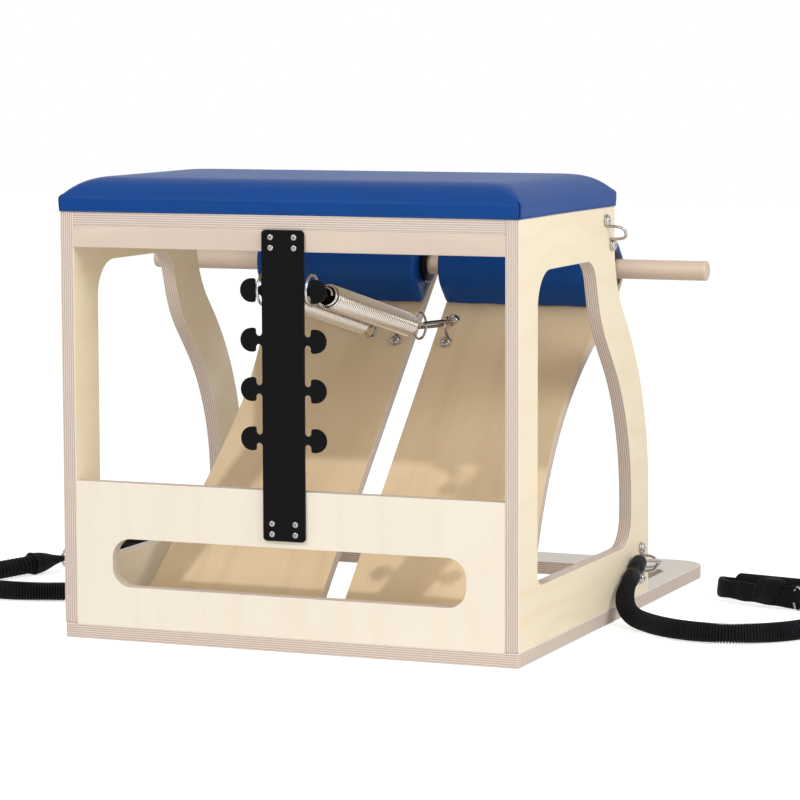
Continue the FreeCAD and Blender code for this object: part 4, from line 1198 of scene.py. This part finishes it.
class CHAIR_OT_hardware(bpy.types.Operator):
    """Pad eyes, snap links and hinges"""
    bl_idname = "chair.hardware"
    bl_label = "Eyes, snaps and hinges"

    def execute(self, context):
        zinc, _ = finished("zinc_plate")
        for side, sign in SIDES:
            for node, body, seat, along, outward in eyes(side, sign):
                self.eye(node, body, seat, along, outward)
            start, way, far_eye, pull, anchor = spring_places(side, sign)
            near = start + way * far_eye + pull * (FAR_RING_RADIUS - SNAP_SLACK)
            snap(side + "_spring_snap", near, anchor, "pedal_" + side, SNAP_TILT)
            coat(side + "_base_hinge", zinc)
            coat(side + "_pedal_hinge", zinc)
        coat("frame_screws", zinc)
        return {"FINISHED"}

    def eye(self, node, body, seat, along, outward):
        """Footman loop: a bail on half a superellipse between two washers with rounded rims."""
        arch = superellipse(np.linspace(0, np.pi, 49), (0.7, 0.6))
        rise = EYE_FOOT / 2 + (EYE_REACH - EYE_FOOT / 2) * arch[:, 1:]
        path = seat + EYE_HALF_WIDTH * arch[:, :1] * along + rise * outward
        bail = capped(sweep(path, np.cross(along, outward), circle(EYE_WIRE, 12)))
        washer = rounded_rod(0.0, EYE_FOOT, EYE_FOOT_RADIUS, EYE_FOOT_ROUNDING)
        feet = [turned(washer, seat + along * (end * EYE_SPACING / 2), outward, 28) for end in ENDS]
        made(node + "_bail", [bail], "chrome_plate", body, node)
        made(node + "_feet", feet, "chrome_plate", body)


class CHAIR_OT_screws(bpy.types.Operator):
    """Domed screw heads with crossed recesses"""
    bl_idname = "chair.screws"
    bl_label = "Screws"

    def head(self, seat, outward, size, spin):
        """Dome over a short rim with a crossed recess: the height falls where |x| or |y| is near zero."""
        radius, height = size
        side, rise = square_to(outward)
        share = np.linspace(0, 1, 15)[:, None]
        angle = angles(48) + spin
        x, y = share * np.cos(angle), share * np.sin(angle)
        dome = 0.24 + 0.76 * np.sqrt(np.maximum(1 - share ** 2.4, 0))
        arm = np.minimum(np.abs(x), np.abs(y))
        reach = np.maximum(np.abs(x), np.abs(y))
        cross = 1 / (1 + np.exp((arm - 0.11) * 60)) / (1 + np.exp((reach - 0.5) * 40))
        turn = math.cos(spin) * side - math.sin(spin) * rise
        over = math.cos(spin) * rise + math.sin(spin) * side
        flat = seat + radius * x[..., None] * turn + radius * y[..., None] * over
        lift = height * (dome - 0.55 * cross)
        return np.concatenate((flat + lift[..., None] * outward, flat[-1:]))

    def group(self, name, heads, finish, body, *nodes):
        made(name, heads, finish, body, *nodes, sharp=40)

    def execute(self, context):
        """Each head is turned a little differently, by its place, as screws end up."""
        rack = [self.head(np.array((x, RACK_FACE, z)), -AHEAD, RACK_SCREW, 0.4 + z * 40 + x * 90)
                for x in (-RACK_SCREW_X, RACK_SCREW_X) for z in RACK_SCREW_ROWS]
        self.group("rack_screw_heads", rack, "zinc_plate", "frame", "rack_screws")
        panel = []
        for side, sign in SIDES:
            for node, body, seat, along, outward in eyes(side, sign):
                swing, offset = (0.7, seat[2]) if body == "frame" else (0.5, 0.0)
                pair = [self.head(seat + outward * EYE_FOOT + along * (end * EYE_SPACING / 2), outward,
                                  EYE_SCREW, end * swing + offset) for end in ENDS]
                if body == "frame":
                    panel += pair
                else:
                    self.group(node + "_screw_heads", pair, "chrome_plate", body, node + "_screws")
            self.hinge(side, sign)
        self.group("eye_screw_heads", panel, "chrome_plate", "frame", "eye_screws")
        return {"FINISHED"}

    def hinge(self, side, sign):
        """Three flat-headed screws through each hinge leaf."""
        places = sign * HINGE_SCREW_PLACES
        row = PIN[1] - HINGE_SCREW_FROM_PIN
        base = [self.head(np.array((x, row, BASE_LEAF_TOP)), UP, HINGE_SCREW, x * 30) for x in places]
        self.group(side + "_base_hinge_screw_heads", base, "zinc_plate", "frame")
        leaf = [self.head(pedal_point(x, HINGE_SCREW_FROM_PIN, PEDAL_LEAF_TOP), pedal_way(0.0, 1.0),
                          HINGE_SCREW, x * 50) for x in places]
        self.group(side + "_pedal_hinge_screw_heads", leaf, "zinc_plate", "pedal_" + side)


class CHAIR_OT_rack(bpy.types.Operator):
    """Black steel rack for the springs' rings"""
    bl_idname = "chair.rack"
    bl_label = "Spring rack"

    def execute(self, context):
        paint, slot = finished("rack_paint")
        eased("spring_rack", sizes().rack_easing, paint, "frame", slot)
        return {"FINISHED"}


class CHAIR_OT_dowel(bpy.types.Operator):
    """Beech dowel and the collars that guide it"""
    bl_idname = "chair.dowel"
    bl_label = "Dowel and collars"

    def execute(self, context):
        low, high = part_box("dowel")
        axis = pedal_point(0.0, *DOWEL_AXIS)
        rod = turned(rounded_rod(low[0], high[0], DOWEL_RADIUS, DOWEL_ROUNDING, 7), axis, ACROSS, 40)
        made("dowel_rod", [rod], "dowel_beech", "dowel", "dowel")
        for side, sign in SIDES:
            self.collars(side, sign, axis)
        return {"FINISHED"}

    def collars(self, side, sign, axis):
        """Turned rings with eased rims round the dowel, each with a set screw in its rim."""
        away = ACROSS * sign
        near = np.array(((0.0, COLLAR_BORE), (0.0, COLLAR_RIM - COLLAR_EASE),
                         (COLLAR_EASE * 0.3, COLLAR_RIM - COLLAR_EASE * 0.3), (COLLAR_EASE, COLLAR_RIM)))
        section = np.concatenate((near, near[::-1] * (-1, 1) + (COLLAR_THICK, 0)))
        rings = [turned(section, axis + away * start, away, 48) for start in COLLAR_STARTS]
        made(side + "_collar_rings", rings, "moulded_plastic", "pedal_" + side, side + "_dowel_collars",
             wrap_rows=True)
        out = unit(pedal_way(-0.9, -0.45))
        stub = rounded_rod(0.0, 0.0042, 0.0032, 0.0006)
        rim = axis + out * (COLLAR_RIM - 0.0015)
        stubs = [turned(stub, rim + away * (start + COLLAR_THICK / 2), out, 24) for start in COLLAR_STARTS]
        made(side + "_collar_set_screws", stubs, "chrome_plate", "pedal_" + side)


class CHAIR_OT_arm_cords(bpy.types.Operator):
    """Stretch cords in gathered sleeves, from the lower eyes to their handles"""
    bl_idname = "chair.arm_cords"
    bl_label = "Arm cords"

    def execute(self, context):
        for side, sign in SIDES:
            route = np.array(CORD_ROUTES[side], dtype=float) / 1000 - AHEAD * REAR_FACE
            line = smooth_line(side + "_cord_line", route)
            pieces = self.fittings(side, sign, route)
            cord = self.gathered(side, line)
        return {"FINISHED"}

    def gathered(self, side, line):
        """Sleeve round the line: its radius swings between crown and valley once for each gather.

        The gathers spread out towards the far end. A slow sum of sines shifts and deepens them and slants
        each one a little, so that no two are alike.
        """
        shape = sizes()
        total = distances(line)[-1]
        path = resampled(line, int(total / shape.rib_pitch * 8))
        run = distances(path)
        sides = 28
        spread = eased_step((run / total - 0.6) / 0.36)
        pitch = shape.rib_pitch * (1 + 1.1 * spread)
        drift = 0.12 * np.sin(run * 61) + 0.08 * np.sin(run * 137 + 1.3)
        ribs = np.cumsum(np.gradient(run) / pitch) + drift
        slant = 0.09 * np.sin(angles(sides) + run[:, None] * 47)
        wave = np.abs(np.sin(np.pi * (ribs[:, None] + slant)))
        start = eased_step(run / 0.09)
        depth = shape.rib_depth * (1 + 0.25 * np.sin(run * 83 + 0.6)) * (0.3 + 0.7 * start + 0.5 * spread)
        crown = CORD_RADIUS * (0.8 + 0.2 * eased_step(run / 0.05))
        radius = crown[:, None] - depth[:, None] * (1 - wave ** 0.7)
        grid = grounded(sweep(path, UP, circle(1.0, sides) * radius[..., None]))
        around = np.linspace(0, 2 * np.pi, sides + 1) * CORD_RADIUS
        return made(side + "_cord_sleeve", [capped(grid)], "cord_sleeve", "frame", side + "_cord",
                    uv=(capped_run(ribs), around), sharp=80)

    def fittings(self, side, sign, route):
        """Snap and cuff at the eye, cap and ring at the far end, and the handle in the ring."""
        first = unit(route[0] - route[1])
        top = route[0] + first * (CUFF_LENGTH - CUFF_TRIM)
        bail = np.array((sign * (PANEL_OUTSIDE + EYE_REACH), *PANEL_EYES["lower"][:2]))
        snap_end = top - first * SNAP_IN_CUFF
        far = bail + unit(bail - snap_end) * (EYE_WIRE + SNAP_WIRE + CLEARANCE)
        link = snap(side + "_cord_snap", snap_end, far, "frame", CORD_SNAP_TILT)
        cuff = self.cuff(side, top, -first)
        last = unit(route[-1] - route[-2])
        cap = self.cap(side, route[-1], last)
        heading = unit(last * (1, 1, 0))
        end = route[-1] + last * CAP_LENGTHS[side]
        middle = np.array((end[0], end[1], GRIP_LEVEL)) + heading * (CORD_RING_RADIUS - CORD_RING_IN_CAP)
        ring = wire_ring(side + "_cord_ring", middle, heading, CORD_RING_RADIUS, CORD_RING_WIRE, "frame", 64)
        self.handle(side, middle + heading * STRAP_FROM_RING)
        return [link, cuff, cap, ring]

    def cuff(self, side, top, way):
        """Moulded cuff of two lobes, each a superellipse, with a waist between and ribs on the lower one."""
        reach = CUFF_LENGTH - CUFF_TRIM + CUFF_LAP
        share = np.linspace(0, 1, 72)
        lobes = [radius * np.maximum(1 - np.abs((share - middle) / half) ** 3.2, 0) ** 0.45
                 for middle, half, radius in CUFF_LOBES]
        waist = CUFF_WAIST * (np.abs(share - 0.55) < 0.2)
        ribs = 0.0003 * np.sin(share * 130) * (share > 0.7)
        profile = np.stack((share * reach, np.max((*lobes, waist), axis=0) + ribs), axis=1)
        profile = np.concatenate(([[0.0, 0.0]], profile, [[reach, 0.0]]))
        return made(side + "_cuff", [turned(profile, top, way, 36)], "moulded_rubber", "frame",
                    side + "_cord_cuff", sharp=60)

    def cap(self, side, start, way):
        """Webbing sock over the cord's end: flared at its mouth, then drawn together to a tab at the ring."""
        share = np.linspace(0, 1, 34)[:, None]
        run = share * CAP_LENGTHS[side]
        press = eased_step((share - 0.12) / 0.88)
        flare = 0.0018 * np.exp(-share / 0.08)
        seams = 1 - 0.05 * hump(share, 0.16, 0.02) - 0.05 * hump(share, 0.62, 0.02)
        half = seams * ((CAP_MOUTH + flare) * (1 - press) + CAP_TAB * press)
        grid = grounded(sweep(start + run * way, UP, circle(1.0, 32) * half[:, None]))
        return made(side + "_cap", [capped(grid)], "strap_webbing", "frame", side + "_cord_cap",
                    uv=(capped_run(run[:, 0]), np.linspace(0, CAP_GIRTH, 33)))

    def handle(self, side, tip):
        """Strap from the ring through the foam grip and back, a flat band with the grip on it."""
        corners = np.array([(x / 1000, y / 1000 - REAR_FACE, GRIP_LEVEL) for x, y in STRAP_CORNERS[side]])
        low, high = corners[:2]
        middle = (low + high) / 2
        way = unit(high - low)
        run, reach = rounded_rod(0.0, GRIP_LENGTH, GRIP_RADIUS, GRIP_ROUNDING, 7)[1:-1].T
        swell = 1 + 0.02 * np.sin(np.pi * run / GRIP_LENGTH)
        wall = np.column_stack((run, np.minimum(reach * swell, GRIP_RADIUS)))
        bore = np.array(((GRIP_LENGTH, GRIP_BORE), (0.0, GRIP_BORE)))
        grid = turned(np.concatenate((wall, bore)), middle - way * (GRIP_LENGTH / 2), way, 40)
        grip = made(side + "_grip_foam", [grid], "grip_foam", "frame", side + "_handle_grip", wrap_rows=True)
        self.strap(side, np.concatenate((tip[None], corners)), grip, middle, np.cross(way, UP))

    def strap(self, side, outline, grip, middle, across):
        """Soft upright band round the handle's corners, each eased by two control points beside it.

        Its section is a superellipse. A sum of sines swells and leans it along its length, and it narrows in
        the grip.
        """
        beside = [outline + unit(np.roll(outline, step, axis=0) - outline) * STRAP_EASE for step in (1, -1)]
        path = smooth_line(side + "_strap_line", np.stack(beside, axis=1).reshape(-1, 3), closed=True)
        closed = resampled(np.concatenate((path, path[:1])), 321)
        path = closed[:-1]
        run = distances(closed)
        offset = path - middle
        in_grip = hump(np.linalg.norm(offset, axis=1), 0, 0.066, 8) * hump(offset @ across, 0, 0.012, 6)
        near_ring = hump(np.linalg.norm(path - outline[0], axis=1), 0, 0.028, 4)
        share = 2 * np.pi * run[:-1] / run[-1]
        free = 1 - in_grip
        swell = 0.0021 + 0.0006 * np.sin(share * 11) + 0.0007 * np.sin(share * 5 + 1)
        thick = STRAP_HALF_THICK + free * swell
        tall = STRAP_HALF_WIDTH + free * (0.0026 + 0.0007 * np.sin(share * 7 + 0.4) + 0.0032 * near_ring)
        lean = 0.16 * free * np.sin(share * 3 + 0.9)
        flat, high = superellipse(angles(40), (0.7, 0.45)).T
        reach = thick[:, None] * flat + (lean * tall)[:, None] * high
        grid = sweep(path, UP, np.stack((reach, tall[:, None] * high), axis=-1), wrap=True)
        piece = made(side + "_strap_band", [grid], "strap_webbing", "frame", side + "_handle_strap",
                     wrap_rows=True, uv=(run, np.linspace(0, STRAP_GIRTH, 41)))
        keeper = self.keeper(side, outline)

    def keeper(self, side, outline):
        """Loose loop of webbing round the strap near the ring: a pillow with its ends drawn in by a power."""
        way = unit(outline[0] - outline[-1])
        across = unit(np.cross(way, UP))
        tilted = unit(UP + way * 0.42)
        centre = outline[0] * (1 - KEEPER_SHARE) + outline[-1] * KEEPER_SHARE + UP * KEEPER_LIFT
        share = np.linspace(-1, 1, 29)
        fullness = np.maximum(1 - np.abs(share) ** 5, 0)[:, None] ** 0.4
        flat, high = (superellipse(angles(36), (0.6, 0.5)) * KEEPER_HALF_SECTION).T
        fold = 0.0016 * np.sin(share * 4 + 0.5)[:, None]
        grid = (centre + share[:, None, None] * KEEPER_HALF_LENGTH * way
                + (fullness * flat + fold)[..., None] * across + (fullness * high)[..., None] * tilted)
        return made(side + "_strap_keeper", [grid], "strap_webbing", "frame",
                    uv=((share + 1) * KEEPER_HALF_LENGTH, np.linspace(0, KEEPER_GIRTH, 37)))


class CHAIR_PT_looks(bpy.types.Panel):
    """Lists the chair's operators and settings"""
    bl_idname = "CHAIR_PT_looks"
    bl_label = "Pilates chair"
    bl_space_type = "VIEW_3D"
    bl_region_type = "UI"
    bl_category = "Chair"

    def draw(self, context):
        for operator in OPERATORS:
            self.layout.operator(operator.bl_idname)
        for name, group in GROUPS.items():
            for setting in group.__annotations__:
                self.layout.prop(getattr(context.scene, name), setting)


OPERATORS = (CHAIR_OT_stage, CHAIR_OT_arm_cords, CHAIR_OT_plywood, CHAIR_OT_seat, CHAIR_OT_foot_pads,
             CHAIR_OT_springs, CHAIR_OT_hardware, CHAIR_OT_screws, CHAIR_OT_rack, CHAIR_OT_dowel)
GROUPS = {"chair_sizes": ChairSizes, "chair_colours": ChairColours, "chair_stage": ChairStage}


def register():
    for name, group in GROUPS.items():
        bpy.utils.register_class(group)
        setattr(bpy.types.Scene, name, bpy.props.PointerProperty(type=group))
    for kind in (*OPERATORS, CHAIR_PT_looks):
        bpy.utils.register_class(kind)


def unregister():
    for kind in (CHAIR_PT_looks, *reversed(OPERATORS)):
        bpy.utils.unregister_class(kind)
    for name, group in GROUPS.items():
        delattr(bpy.types.Scene, name)
        bpy.utils.unregister_class(group)


def main():
    register()
    bpy.ops.chair.stage()
    bpy.ops.chair.arm_cords()
    bpy.ops.chair.plywood()
    bpy.ops.chair.seat()
    bpy.ops.chair.foot_pads()
    bpy.ops.chair.springs()
    bpy.ops.chair.hardware()
    bpy.ops.chair.screws()
    bpy.ops.chair.rack()
    bpy.ops.chair.dowel()
    boxes = {"cad": CAD_BOX, "visual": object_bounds()}
    {name: [list(corner) for corner in box] for name, box in boxes.items()}


if __name__ == "__main__":
    main()
